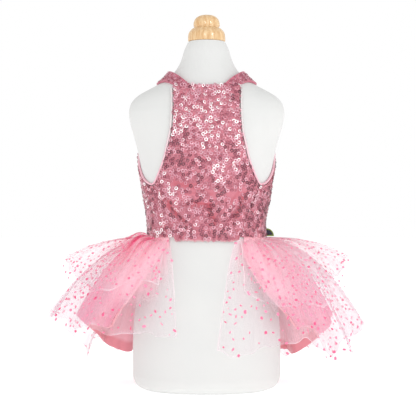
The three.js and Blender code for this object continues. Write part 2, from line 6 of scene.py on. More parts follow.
import bmesh
import bpy
import numpy as np
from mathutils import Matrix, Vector


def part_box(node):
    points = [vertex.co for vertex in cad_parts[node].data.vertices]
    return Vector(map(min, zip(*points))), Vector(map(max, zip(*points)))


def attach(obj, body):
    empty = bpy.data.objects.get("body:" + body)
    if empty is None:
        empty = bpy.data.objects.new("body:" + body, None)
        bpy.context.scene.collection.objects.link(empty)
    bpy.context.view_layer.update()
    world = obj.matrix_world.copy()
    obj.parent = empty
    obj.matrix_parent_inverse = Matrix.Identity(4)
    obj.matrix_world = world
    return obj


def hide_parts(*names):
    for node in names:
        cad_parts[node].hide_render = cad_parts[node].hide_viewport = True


bl_info = {
    "name": "Dog Tutu Dress",
    "version": (1, 0, 0),
    "blender": (4, 5, 0),
    "location": "View3D > Sidebar > Tutu Dress",
    "description": "Builds a small dog's sequinned tutu dress on a limbless dress form",
    "category": "Object",
}

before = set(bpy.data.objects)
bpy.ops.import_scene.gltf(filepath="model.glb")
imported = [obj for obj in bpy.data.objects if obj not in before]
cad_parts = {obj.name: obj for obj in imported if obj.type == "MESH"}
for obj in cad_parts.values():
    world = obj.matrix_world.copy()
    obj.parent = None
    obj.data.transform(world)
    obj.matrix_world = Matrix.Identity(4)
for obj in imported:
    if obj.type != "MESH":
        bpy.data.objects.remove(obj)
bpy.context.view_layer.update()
MM = 0.001


def table(columns, rows):
    """A short table of numbers as one array for each named column."""
    return dict(zip(columns.split(), np.array(rows, float).T))


# Heights above the form's base
NECK_TOP = 380
NECK_EDGE = 329
BACK_NECK_EDGE = 322
ARMHOLE_BOTTOM = 221
BACK_HEM = 166.5
CHEST_HEM = 162
TRIM_TOP = CHEST_HEM + 1.8
SEQUINS_FROM = CHEST_HEM + 1.6
WAIST_SEAM = 159
SEAM_HEIGHTS = (155, 170)

# Cloth thicknesses, and clearances from the form and between the pieces
BODICE_WALL = 1.2
NET_WALL = 1.0
CLOTH_CLEARANCE = 1
UNDERSIDE_CLEARANCE = 0.2
TIER_GAP = 0.7
CAP_GAP = 0.3
SEAM_CLEARANCE = 0.6
SEAM_STAND = 3
BINDING_GAP = 0.7
BINDING_WIDTH = 2.2
BINDING_THICKNESS = 2.4
BINDING_FOLD_WALL = 0.45
LABEL_EDGE = 1.3

# The bodice's side seams, as angles round the form from the middle of the chest
SEAM_ANGLE_AT_HEM = 31.7
SEAM_ANGLE_AT_ARMHOLE = 52.9
SEAM_GAP_ANGLE = 0.35
CREASE_DEPTH = 1.7

# The skirt's cloth: where its front edges lie, its gathers at the waist, and the flutes and the
# puff that it opens into
SKIRT_ANGLES = (37.3, 329.5)
SKIRT_COLUMNS = 84
COLUMNS_PER_GATHER = 3
GATHER_DEPTH = 1.2
GATHER_REACH = 42
GATHER_COLOUR_REACH = 50
FLUTES = 14
FLUTE_DEPTH = 4.5
FLUTE_REACH = 120
PUFF_ANGLE = 69
PUFF_HEIGHT = 7
HEM_BAND = 12

# The form's horizontal sections, each a superellipse
FORM_SECTIONS = table("z half_width half_depth squareness", [
    (0, 68, 46, 2.2),
    (3, 75, 53, 2.2),
    (8, 79, 57, 2.2),
    (16, 81, 59, 2.2),
    (45, 81, 59.5, 2.2),
    (75, 79.7, 58, 2.2),
    (100, 76, 56, 2.2),
    (125, 70, 52, 2.2),
    (150, 64, 48, 2.2),
    (161, 62.2, 46.6, 2.2),
    (172, 61.5, 46, 2.2),
    (183, 61.9, 46.2, 2.2),
    (195, 63, 47, 2.2),
    (215, 66.5, 49.5, 2.2),
    (235, 70.5, 51, 2.2),
    (255, 74.5, 50, 2.2),
    (275, 79.5, 47, 2.25),
    (290, 83.8, 44, 2.3),
    (302, 85.4, 41.5, 2.3),
    (310, 84, 39.5, 2.25),
    (316, 80.5, 38, 2.2),
    (321, 75, 36.5, 2.15),
    (326, 66.5, 35, 2.1),
    (331, 57, 33.5, 2.05),
    (336, 48.5, 32, 2),
    (342, 40.5, 30.5, 2),
    (350, 33, 28.5, 2),
    (360, 28, 26, 2),
    (371, 24.6, 23.5, 2),
    (NECK_TOP, 20.4, 20.4, 2),
])

# The turned cap's profile, height above its foot
CAP_PROFILE = table("step radius height", [
    (0, 19.6, 0),
    (1, 20.6, 1.2),
    (2, 20.6, 4),
    (3, 20.4, 7),
    (4, 19.9, 9.2),
    (5, 19.0, 11),
    (6, 17.2, 13.2),
    (7, 15.6, 14.5),
    (8, 14.1, 15.4),
    (9, 13.9, 16.2),
    (10, 14.5, 18),
    (11, 14.4, 20.4),
    (12, 13.7, 23),
    (13, 12.2, 25.7),
    (14, 9.8, 27.7),
    (15, 6.2, 29.1),
    (16, 2.6, 29.6),
    (17, 0, 29.7),
])

# Half the chest panel's width between its armhole edges
CHEST_WIDTHS = table("z half_width", [
    (ARMHOLE_BOTTOM, 54.9),
    (227.4, 51.5),
    (235, 48.3),
    (247.5, 43.5),
    (264.4, 39.7),
    (280, 36.5),
    (293, 35.5),
    (310, 35),
    (NECK_EDGE, 35.5),
])

# The chest panel's creases: ridges have a positive height, troughs a negative one
CHEST_FOLDS = [
    # from x, z; to x, z; height, width
    (-49, 213, -34, 178, 1.5, 4),
    (-42, 206, -24, 184, -1.6, 4),
    (-33, 199, -9, 177, 1.6, 4),
    (-31, 214, 13, 211, 1.3, 6),
    (-34, 226, -8, 221, -0.9, 4),
    (-23, 203, 4, 200, -1.2, 4.5),
    (17, 216, 14, 180, 1.6, 4),
    (3, 198, 8, 181, -1.4, 4),
    (39, 212, 27, 182, -1.7, 4),
    (46, 209, 33, 178, 1.3, 4),
    (31, 219, 23, 190, 1.1, 4),
]

# Patches of the chest whose sequins get a painted highlight, above 0, or a painted shade, below 0
SEQUIN_HIGHLIGHT_AND_SHADE = [
    # x, z, radius, amount
    (-19, 308, 7, 0.25),
    (0, 302, 9, 0.25),
    (13, 313, 6, 0.25),
    (-6, 288, 8, 0.25),
    (-30, 290, 7, 0.08),
    (-29, 276, 7, 0.1),
    (6, 279, 9, 0.3),
    (-9, 264, 8, 0.35),
    (31, 271, 7, 0.12),
    (21, 283, 7, 0.2),
    (13, 238, 11, 0.25),
    (34, 245, 6, 0.25),
    (-14, 233, 5, 0.2),
    (-35, 220, 8, 0.25),
    (-25, 203, 6, 0.3),
    (44, 207, 5, 0.3),
    (-32, 264, 6, -0.3),
    (-20, 274, 6, -0.2),
    (-31, 249, 9, -0.35),
    (-17, 253, 8, -0.35),
    (-19, 236, 6, -0.3),
    (-2, 231, 8, -0.35),
    (17, 210, 7, -0.3),
    (17, 198, 6, -0.25),
    (24, 270, 6, -0.25),
    (25, 259, 7, -0.2),
    (38, 240, 8, -0.3),
    (47, 224, 8, -0.35),
    (33, 318, 7, -0.3),
    (38, 200, 9, -0.25),
    (-38, 186, 9, -0.2),
    (6, 180, 14, -0.17),
]

# Creases that pull the chest's cloth smooth between its sequins
BARE_CREASES = [
    # from x, z; to x, z; width
    (-33, 223, -12, 219, 4),
    (-24, 214, 6, 213, 3.5),
    (25, 206, 36, 219, 4.5),
    (-14, 204, 6, 202, 3),
    (-39, 201, -26, 185, 3),
    (4, 197, 9, 184, 3),
]

# The back panel: where each upright line of the cloth starts at the hem, and ends at the top
BACK_LINES = table("line hem_angle top_angle top_z", [
    (0, SEAM_ANGLE_AT_HEM, SEAM_ANGLE_AT_ARMHOLE, ARMHOLE_BOTTOM),
    (1, 44, 64, 223),
    (2, 57, 78, 231),
    (3, 70, 90, 243),
    (4, 83, 102, 256),
    (5, 96, 114, 269),
    (6, 109, 126, 283),
    (7, 121, 136, 298),
    (8, 132, 143.6, BACK_NECK_EDGE),
    (9, 144, 152, BACK_NECK_EDGE),
    (10, 156, 161, 321),
    (11, 168, 170, 320.3),
    (12, 180, 180, 320),
])
BACK_MIDDLE = 12
BACK_ARMHOLE_LINES = 8

# The straps' two edges over a shoulder, from the chest panel to the back panel
STRAP_EDGES = [
    # share; -1 on the chest, 0 on top, 1 on the back; inner x, z; outer x, z
    (0, -1, (18.5, NECK_EDGE + 0.5), (35.2, NECK_EDGE + 0.5)),
    (0.25, -1, (28, 338), (46.5, 334)),
    (0.5, 0, (36.5, 343), (54, 333)),
    (0.75, 1, (36, 336), (53, 328)),
    (1, 1, (30, BACK_NECK_EDGE + 0.5), (46, BACK_NECK_EDGE + 0.5)),
]

# Skirt tiers. Each row is one line of the cloth from the waist to the hem.
SKIRT_LINES = table("angle flare reach drop fall", [
    (37.3, 64, 54, 70, 0.9),
    (52, 72, 62, 82, 1.3),
    (65, 80, 69, 88, 1.7),
    (78, 86, 72, 81, 2),
    (90, 92, 72, 76, 2),
    (102, 100, 70, 92, 1.9),
    (115, 114, 65, 112, 1.7),
    (130, 130, 60, 123, 1.5),
    (150, 150, 58, 127, 1.4),
    (180, 180, 60, 129, 1.4),
    (210, 210, 58, 127, 1.4),
    (230, 230, 60, 123, 1.5),
    (245, 246, 64, 112, 1.7),
    (258, 260, 68, 94, 1.9),
    (270, 268, 69, 82, 2),
    (282, 274, 68, 85, 2),
    (296, 280, 65, 95, 1.5),
    (310, 286, 58, 90, 1),
    (329.5, 293, 53, 78, 0.65),
])
LONG_TIER_LINES = table("angle flare reach drop fall", [
    (37.3, -17, 29, 95, 2),
    (46, 22, 38, 93, 1.9),
    (54, 47, 62, 92, 1.7),
    (65, 66, 82, 88, 1.7),
    (78, 81, 97, 80, 1.9),
    (89, 89, 103, 78, 2),
    (99, 97, 107, 92, 1.9),
    (106, 104, 88, 106, 1.8),
    (114, 112, 82, 136, 1.8),
    (123, 122, 80, 116, 1.7),
    (140, 140, 78, 134, 1.6),
    (158, 158, 88, 114, 1.7),
    (180, 180, 80, 138, 1.6),
    (202, 202, 88, 116, 1.7),
    (220, 220, 78, 136, 1.6),
    (236, 237, 80, 122, 1.7),
    (247, 249, 80, 134, 1.8),
    (258, 261, 108, 100, 1.9),
    (270, 270, 100, 94, 2),
    (282, 280, 90, 116, 1.9),
    (295, 290, 82, 122, 1.9),
    (308, 312, 56, 112, 1.7),
    (317, 338, 38, 107, 1.9),
    (329.5, 398, 32, 106, 2),
])
SHORT_TIER_LINES = table("angle flare reach drop fall", [
    (37.3, 14, 27, 46, 1.9),
    (50, 46, 46, 54, 1.8),
    (63, 68, 70, 50, 2.1),
    (76, 80, 86, 40, 2.5),
    (88, 89, 88, 18, 3),
    (100, 98, 87, 32, 2.6),
    (114, 113, 76, 54, 2),
    (130, 130, 76, 42, 1.9),
    (148, 148, 70, 60, 1.8),
    (164, 164, 76, 44, 1.8),
    (180, 180, 70, 62, 1.8),
    (196, 196, 76, 44, 1.8),
    (212, 212, 70, 60, 1.8),
    (230, 230, 76, 42, 1.9),
    (246, 247, 76, 54, 2),
    (259, 261, 85, 34, 2.6),
    (271, 271, 86, 20, 2.8),
    (284, 281, 80, 52, 2.2),
    (298, 293, 68, 66, 1.9),
    (312, 316, 42, 66, 1.7),
    (329.5, 352, 26, 50, 1.9),
])

# Where each hem hangs a little lower, or higher, than its tier's lines
LINING_HEM = [
    # angle, spread, extra drop
    (46, 9, 7),
    (129, 12, 4),
    (234, 11, 8),
]
LONG_HEM = [
    # angle, spread, extra drop
    (307, 6, -13),
    (326, 7, 8),
]
SHORT_HEM = [
    # angle, spread, extra drop
    (46, 7, -15),
    (64, 5, 5),
]


def rgb(code):
    """An sRGB hex colour as the linear values that Blender works in."""
    parts = [int(code[i:i + 2], 16) / 255 for i in (0, 2, 4)]
    return tuple(p / 12.92 if p <= 0.04045 else ((p + 0.055) / 1.055) ** 2.4 for p in parts)


# The part's surfaces, as arrays of points in millimetres


def read(rows, key, column, at):
    """A table's column at values of its key, on a smooth curve that doesn't overshoot the rows."""
    x, y = rows[key], rows[column]
    width = np.diff(x)
    slope = np.diff(y) / width
    before, after = slope[:-1], slope[1:]
    same_way = before * after > 0
    inner = np.where(same_way, 2 * before * after / np.where(same_way, before + after, 1), 0)
    tangent = np.concatenate([slope[:1], inner, slope[-1:]])
    at = np.clip(at, x[0], x[-1])
    i = np.clip(np.searchsorted(x, at, side="right") - 1, 0, len(width) - 1)
    t = (at - x[i]) / width[i]
    rise = t * t * (3 - 2 * t)
    bend = t * (1 - t) ** 2 * tangent[i] - t * t * (1 - t) * tangent[i + 1]
    return y[i] * (1 - rise) + y[i + 1] * rise + width[i] * bend


def lerp(a, b, share):
    return a + (b - a) * share


def unit(vectors):
    return vectors / np.maximum(np.linalg.norm(vectors, axis=-1, keepdims=True), 1e-9)


def power(value, exponent):
    return np.sign(value) * np.abs(value) ** exponent


def bell(value, middle, spread):
    """1 at the middle, falling smoothly to 0 on both sides. It is down to 0.37 a spread away."""
    return np.exp(-((value - middle) / spread) ** 2)


def form_size(column, z):
    return read(FORM_SECTIONS, "z", column, z)


def form_point(angle, z):
    """Points of the form's surface. Angle 0 is the middle of the chest, 90 is the -X side, and 180
    is the back."""
    turn = np.radians(angle)
    exponent = 2 / form_size("squareness", z)
    x = -form_size("half_width", z) * power(np.sin(turn), exponent)
    y = -form_size("half_depth", z) * power(np.cos(turn), exponent)
    return np.stack(np.broadcast_arrays(x, y, z), axis=-1)


def angle_of_half_width(half_width, z):
    share = (half_width / form_size("half_width", z)) ** (form_size("squareness", z) / 2)
    return np.degrees(np.arcsin(share))


def form_share(points):
    """How far out points are, as a share of the form's section there: 1 is on the surface."""
    x, y, z = np.moveaxis(points, -1, 0)
    n = form_size("squareness", z)
    across = np.abs(x / form_size("half_width", z)) ** n
    through = np.abs(y / form_size("half_depth", z)) ** n
    return (across + through) ** (1 / n)


def form_slope(points):
    steps = 0.05 * np.eye(3)
    return np.stack([(form_share(points + s) - form_share(points - s)) / 0.1 for s in steps], -1)


def form_distance(points):
    return (form_share(points) - 1) / np.linalg.norm(form_slope(points), axis=-1)


def seat(points, away):
    """The points moved along the form's normal until they are that far off the form."""
    for _ in range(4):
        points = points + unit(form_slope(points)) * (away - form_distance(points))[..., None]
    return points


def keep_off(points, least):
    near = form_distance(points) < least
    return np.where(near[..., None], seat(points, least), points)


def normals_of(grid):
    """Normals of a grid of points, away from the form. Its rows run down the cloth, and its columns
    run the way that angles do round the form."""
    down = np.gradient(grid, axis=0)
    across = np.gradient(grid, axis=1)
    return unit(np.cross(across, down))


def lengths_along(grid, axis):
    """The cloth's length from the grid's first row or column to each point."""
    steps = np.linalg.norm(np.diff(grid, axis=axis), axis=-1)
    start = np.zeros_like(np.take(steps, [0], axis=axis))
    return np.concatenate([start, np.cumsum(steps, axis=axis)], axis=axis)


def cloth_measure(grid):
    """Where each point of a grid lies on its own flat cloth, across it and down it."""
    return np.stack([lengths_along(grid, 1), lengths_along(grid, 0)], -1)


def grid_faces(rows, columns):
    i, j = np.mgrid[0:rows - 1, 0:columns - 1]
    first = (i * columns + j).ravel()
    return np.stack([first, first + 1, first + columns + 1, first + columns], axis=1)


def new_mesh(name, points, faces, cloth_uv=None, marks=None):
    """An object from points in millimetres, with the cloth's own measure as its UV map."""
    data = bpy.data.meshes.new(name)
    corners = [tuple(map(int, face)) for face in faces]
    data.from_pydata((np.reshape(points, (-1, 3)) * MM).tolist(), [], corners)
    for mark, values in (marks or {}).items():
        data.attributes.new(mark, "FLOAT", "POINT").data.foreach_set("value", np.ravel(values))
    if cloth_uv is not None:
        vertices = np.zeros(len(data.loops), int)
        data.loops.foreach_get("vertex_index", vertices)
        flat = np.reshape(cloth_uv, (-1, 2))[vertices] * MM
        data.uv_layers.new(name="cloth").data.foreach_set("uv", flat.ravel())
    data.shade_smooth()
    data.update()
    made = bpy.data.objects.new(name, data)
    bpy.context.scene.collection.objects.link(made)
    return made


def rim_faces(rows, columns):
    """The faces that join the borders of two grids of points, stored one after the other."""
    top = list(range(columns))
    right = [i * columns + columns - 1 for i in range(1, rows)]
    bottom = [(rows - 1) * columns + j for j in range(columns - 2, -1, -1)]
    left = [i * columns for i in range(rows - 2, 0, -1)]
    border = top + right + bottom + left
    other = rows * columns
    return [(b, a, a + other, b + other) for a, b in zip(border, border[1:] + border[:1])]


def cloth_wall(name, inner, outer, cloth_uv, marks=None):
    """A closed thin shell between two grids of points. The outer one faces away from the form."""
    rows, columns = outer.shape[:2]
    faces = grid_faces(rows, columns)
    walls = np.concatenate([faces, faces[:, ::-1] + rows * columns]).tolist()
    points = np.concatenate([outer.reshape(-1, 3), inner.reshape(-1, 3)])
    doubled = {mark: np.tile(np.ravel(values), 2) for mark, values in (marks or {}).items()}
    uv = np.tile(np.reshape(cloth_uv, (-1, 2)), (2, 1))
    made = new_mesh(name, points, walls + rim_faces(rows, columns), uv, doubled)
    made.data.set_sharp_from_angle(angle=math.radians(60))
    return made


def merge_doubles(piece):
    """Points that fall together, as at the corner of a fan, become one."""
    mesh = bmesh.new()
    mesh.from_mesh(piece.data)
    bmesh.ops.remove_doubles(mesh, verts=mesh.verts, dist=1e-6)
    mesh.to_mesh(piece.data)
    mesh.free()


def folded_strip(name, path, across, outwards, width, thickness, wall):
    """A strip of cloth folded over along a path, with its two edges towards the panel that it binds."""
    turns = np.radians(np.linspace(-150, 150, 9))
    rounds = [(turns, width / 2, thickness / 2), (turns[::-1], width / 2 - wall, thickness / 2 - wall)]
    # A squarish fold, so that it lies flat on the form up to its edge
    section = [(a * power(np.cos(t), 0.6), b * power(np.sin(t), 0.6))
               for angles, a, b in rounds for t in angles]
    points = np.stack([path + across * u + outwards * v for u, v in section], 1)
    rows, sides = points.shape[:2]
    faces = []
    for i in range(rows - 1):
        for j in range(sides):
            k = (j + 1) % sides
            faces.append((i * sides + j, i * sides + k, (i + 1) * sides + k, (i + 1) * sides + j))
    half = sides // 2
    for row, turned in ((0, False), (rows - 1, True)):
        for j in range(half - 1):
            end = [row * sides + k for k in (j, j + 1, sides - 2 - j, sides - 1 - j)]
            faces.append(tuple(end if turned else end[::-1]))
    along = lengths_along(path[:, None], 0)
    cloth_across = np.concatenate([turns, turns[::-1]])[None, :] * width / 2
    uv = np.stack(np.broadcast_arrays(cloth_across, along), -1)
    # Paler towards the shoulders
    pale = np.clip((path[:, 2:] - 240) / 50, 0, 1)
    marks = {"pale": np.broadcast_to(pale, points.shape[:2])}
    return new_mesh(name, points, faces, uv, marks)


# Nodes and materials


def node(tree, kind, inputs=None, stops=None, **settings):
    """Adds a node with its settings. An input is a value, or the socket it is linked from."""
    made = tree.nodes.new(kind)
    for name, value in settings.items():
        setattr(made, name, value)
    for key, value in (inputs or {}).items():
        if isinstance(value, bpy.types.NodeSocket):
            tree.links.new(value, made.inputs[key])
        else:
            made.inputs[key].default_value = value
    for i, (place, colour) in enumerate(stops or []):
        elements = made.color_ramp.elements
        stop = elements[i] if i < 2 else elements.new(place)
        stop.position = place
        stop.color = (*colour, 1)
    return made


def new_material(name, **values):
    """A material and its Principled shader, with the values that are the same all over it."""
    made = bpy.data.materials.new(name)
    made.use_nodes = True
    tree = made.node_tree
    tree.nodes.clear()
    shader = node(tree, "ShaderNodeBsdfPrincipled", values)
    node(tree, "ShaderNodeOutputMaterial", {"Surface": shader.outputs[0]})
    return made, tree, shader


def set_inputs(tree, shader, **sockets):
    for name, socket in sockets.items():
        tree.links.new(socket, shader.inputs[name.replace("_", " ")])


def moulded_form(colours):
    """Matt white moulded plastic: an even, soft surface with a faint orange peel and no shine."""
    made, tree, shader = new_material("matt moulded plastic", Roughness=0.62)
    place = node(tree, "ShaderNodeTexCoord").outputs["Object"]
    mottle = node(tree, "ShaderNodeTexNoise", {"Vector": place, "Scale": 22, "Detail": 3})
    white = rgb("DCDCDA")
    tone = node(tree, "ShaderNodeMix", {0: mottle.outputs[0], 6: (*colours.form, 1), 7: (*white, 1)},
                data_type="RGBA")
    # Orange peel of the moulding, 1.6 mm wide
    peel = node(tree, "ShaderNodeTexNoise", {"Vector": place, "Scale": 620, "Detail": 1})
    bump = node(tree, "ShaderNodeBump", {"Height": peel.outputs[0], "Strength": 0.12,
                                         "Distance": 0.0004})
    set_inputs(tree, shader, Base_Color=tone.outputs[2], Normal=bump.outputs[0])
    return made


def varnished_beech():
    """Turned, clear-varnished beech: pale honey wood with short upright grain under a gloss coat,
    whose amber tint deepens where it is seen along the surface. Under the varnish the wood itself
    hardly shines."""
    made, tree, shader = new_material("varnished beech", Roughness=0.6, **{
        "Specular IOR Level": 0.1, "Coat Weight": 0.8, "Coat Roughness": 0.18, "Coat IOR": 1.5,
        "Coat Tint": (*rgb("FBF0DE"), 1)})
    place = node(tree, "ShaderNodeTexCoord").outputs["Object"]
    turned = node(tree, "ShaderNodeMapping", {"Vector": place, "Rotation": (0.5, 0.25, 0.4),
                                              "Scale": (1, 1, 0.2)})
    # Growth rings about 6 mm apart, which the distortion bends and breaks up
    rings = node(tree, "ShaderNodeTexWave", {"Vector": turned.outputs[0], "Scale": 55,
                                             "Distortion": 9, "Detail": 3, "Detail Scale": 1.6},
                 bands_direction="X")
    grain = node(tree, "ShaderNodeTexNoise", {"Vector": turned.outputs[0], "Scale": 500, "Detail": 4})
    both = node(tree, "ShaderNodeMath", {0: rings.outputs[1], 1: 0.18, 2: grain.outputs[0]},
                operation="MULTIPLY_ADD")
    tone = node(tree, "ShaderNodeValToRGB", {0: both.outputs[0]}, stops=[
        (0.4, rgb("EAD2AE")), (0.85, rgb("D2AA7C"))])
    bump = node(tree, "ShaderNodeBump", {"Height": grain.outputs[0], "Strength": 0.1,
                                         "Distance": 0.0003})
    set_inputs(tree, shader, Base_Color=tone.outputs[0], Normal=bump.outputs[0])
    return made


def stretch_mesh(name, colour, shade):
    """Dyed polyester mesh knit, the ground of the sequins: matt, with a grain, and painted shade in the
    troughs of its creases.
    """
    made, tree, shader = new_material(name, Roughness=0.6, **{
        "Sheen Weight": 0.25, "Sheen Roughness": 0.5})
    cloth = node(tree, "ShaderNodeUVMap", uv_map="cloth").outputs[0]
    # Knit loops 1.2 mm apart, drawn as coarse as the render shows
    loops = node(tree, "ShaderNodeTexVoronoi", {"Vector": cloth, "Scale": 800, "Randomness": 0.7})
    patches = node(tree, "ShaderNodeTexNoise", {"Vector": cloth, "Scale": 90, "Detail": 3})
    both = node(tree, "ShaderNodeMath", {0: loops.outputs[0], 1: patches.outputs[0]},
                operation="MULTIPLY")
    tone = node(tree, "ShaderNodeMix", {0: both.outputs[0], 6: (*colour, 1), 7: (*shade, 1)},
                data_type="RGBA")
    # Painted shade: a deeper red in the troughs of the creases
    crease_shade = node(tree, "ShaderNodeAttribute", attribute_name="crease_shade").outputs["Fac"]
    shaded_creases = node(tree, "ShaderNodeMix", {0: crease_shade, 6: tone.outputs[2],
                                          7: (*rgb("B84A58"), 1)}, data_type="RGBA")
    trim = node(tree, "ShaderNodeAttribute", attribute_name="trim").outputs["Fac"]
    trimmed = node(tree, "ShaderNodeMix", {0: trim, 6: shaded_creases.outputs[2],
                                           7: (*rgb("CFA2A7"), 1)}, data_type="RGBA")
    bump = node(tree, "ShaderNodeBump", {"Height": loops.outputs[0], "Strength": 0.6,
                                         "Distance": 0.0004})
    set_inputs(tree, shader, Base_Color=trimmed.outputs[2], Normal=bump.outputs[0])
    return made


def sequin_film(colours):
    """Metallised polyester film, punched into rings: rose, with a painted highlight of near white or a
    painted shade of near dark on each ring, as its tone says.
    """
    made, tree, shader = new_material("metallised film sequins", Roughness=0.3, Metallic=0.25, **{
        "Specular IOR Level": 0.8})
    tone = node(tree, "ShaderNodeAttribute", attribute_name="tone").outputs["Fac"]
    place = node(tree, "ShaderNodeTexCoord").outputs["Object"]
    # Noise 1.2 mm wide that moves the painted highlight and shade within each ring
    highlight_ripple = node(tree, "ShaderNodeTexNoise", {"Vector": place, "Scale": 850, "Detail": 1})
    centred = node(tree, "ShaderNodeMath", {0: highlight_ripple.outputs[0], 1: 0.5}, operation="SUBTRACT")
    level = node(tree, "ShaderNodeMath", {0: centred.outputs[0], 1: 0.4, 2: tone},
                 operation="MULTIPLY_ADD", use_clamp=True)
    # The ramp runs from painted shade, near dark, through the film's rose to painted highlight, near
    # white
    colour = node(tree, "ShaderNodeValToRGB", {0: level.outputs[0]}, stops=[
        (0.02, colours.sequin_shade), (0.98, colours.sequin_light), (0.1, rgb("8A4056")),
        (0.2, rgb("AC5B6E")), (0.42, colours.sequin), (0.62, rgb("D698A9")),
        (0.82, rgb("E2AFBD")), (0.93, rgb("F1CDD5"))])
    set_inputs(tree, shader, Base_Color=colour.outputs[0])
    return made


def satin(name, colour, shade):
    """Woven polyester satin: a smooth cloth with a soft sheen and fine threads along it."""
    made, tree, shader = new_material(name, Roughness=0.5, **{
        "Sheen Weight": 0.3, "Sheen Roughness": 0.4})
    cloth = node(tree, "ShaderNodeUVMap", uv_map="cloth").outputs[0]
    stretched = node(tree, "ShaderNodeMapping", {"Vector": cloth, "Scale": (1, 0.12, 1)})
    threads = node(tree, "ShaderNodeTexNoise", {"Vector": stretched.outputs[0], "Scale": 420,
                                                "Detail": 3})
    tone = node(tree, "ShaderNodeMix", {0: threads.outputs[0], 6: (*colour, 1), 7: (*shade, 1)},
                data_type="RGBA")
    # Paler where the piece is marked pale, higher up the binding
    pale = node(tree, "ShaderNodeAttribute", attribute_name="pale").outputs["Fac"]
    paler_higher_up = node(tree, "ShaderNodeMix", {0: pale, 6: tone.outputs[2], 7: (*rgb("DDD4D4"), 1)},
                 data_type="RGBA")
    # The lining is darker along its hem band
    hem = node(tree, "ShaderNodeAttribute", attribute_name="hem").outputs["Fac"]
    darker_hem = node(tree, "ShaderNodeMix", {0: hem, 6: paler_higher_up.outputs[2],
                                             7: (*rgb("E9929E"), 1)}, data_type="RGBA")
    # Threads 0.8 mm apart, drawn as coarse as the render shows
    weave = node(tree, "ShaderNodeTexWave", {"Vector": cloth, "Scale": 400}, bands_direction="X")
    bump = node(tree, "ShaderNodeBump", {"Height": weave.outputs[1], "Strength": 0.25,
                                         "Distance": 0.0002})
    set_inputs(tree, shader, Base_Color=darker_hem.outputs[2], Normal=bump.outputs[0])
    return made


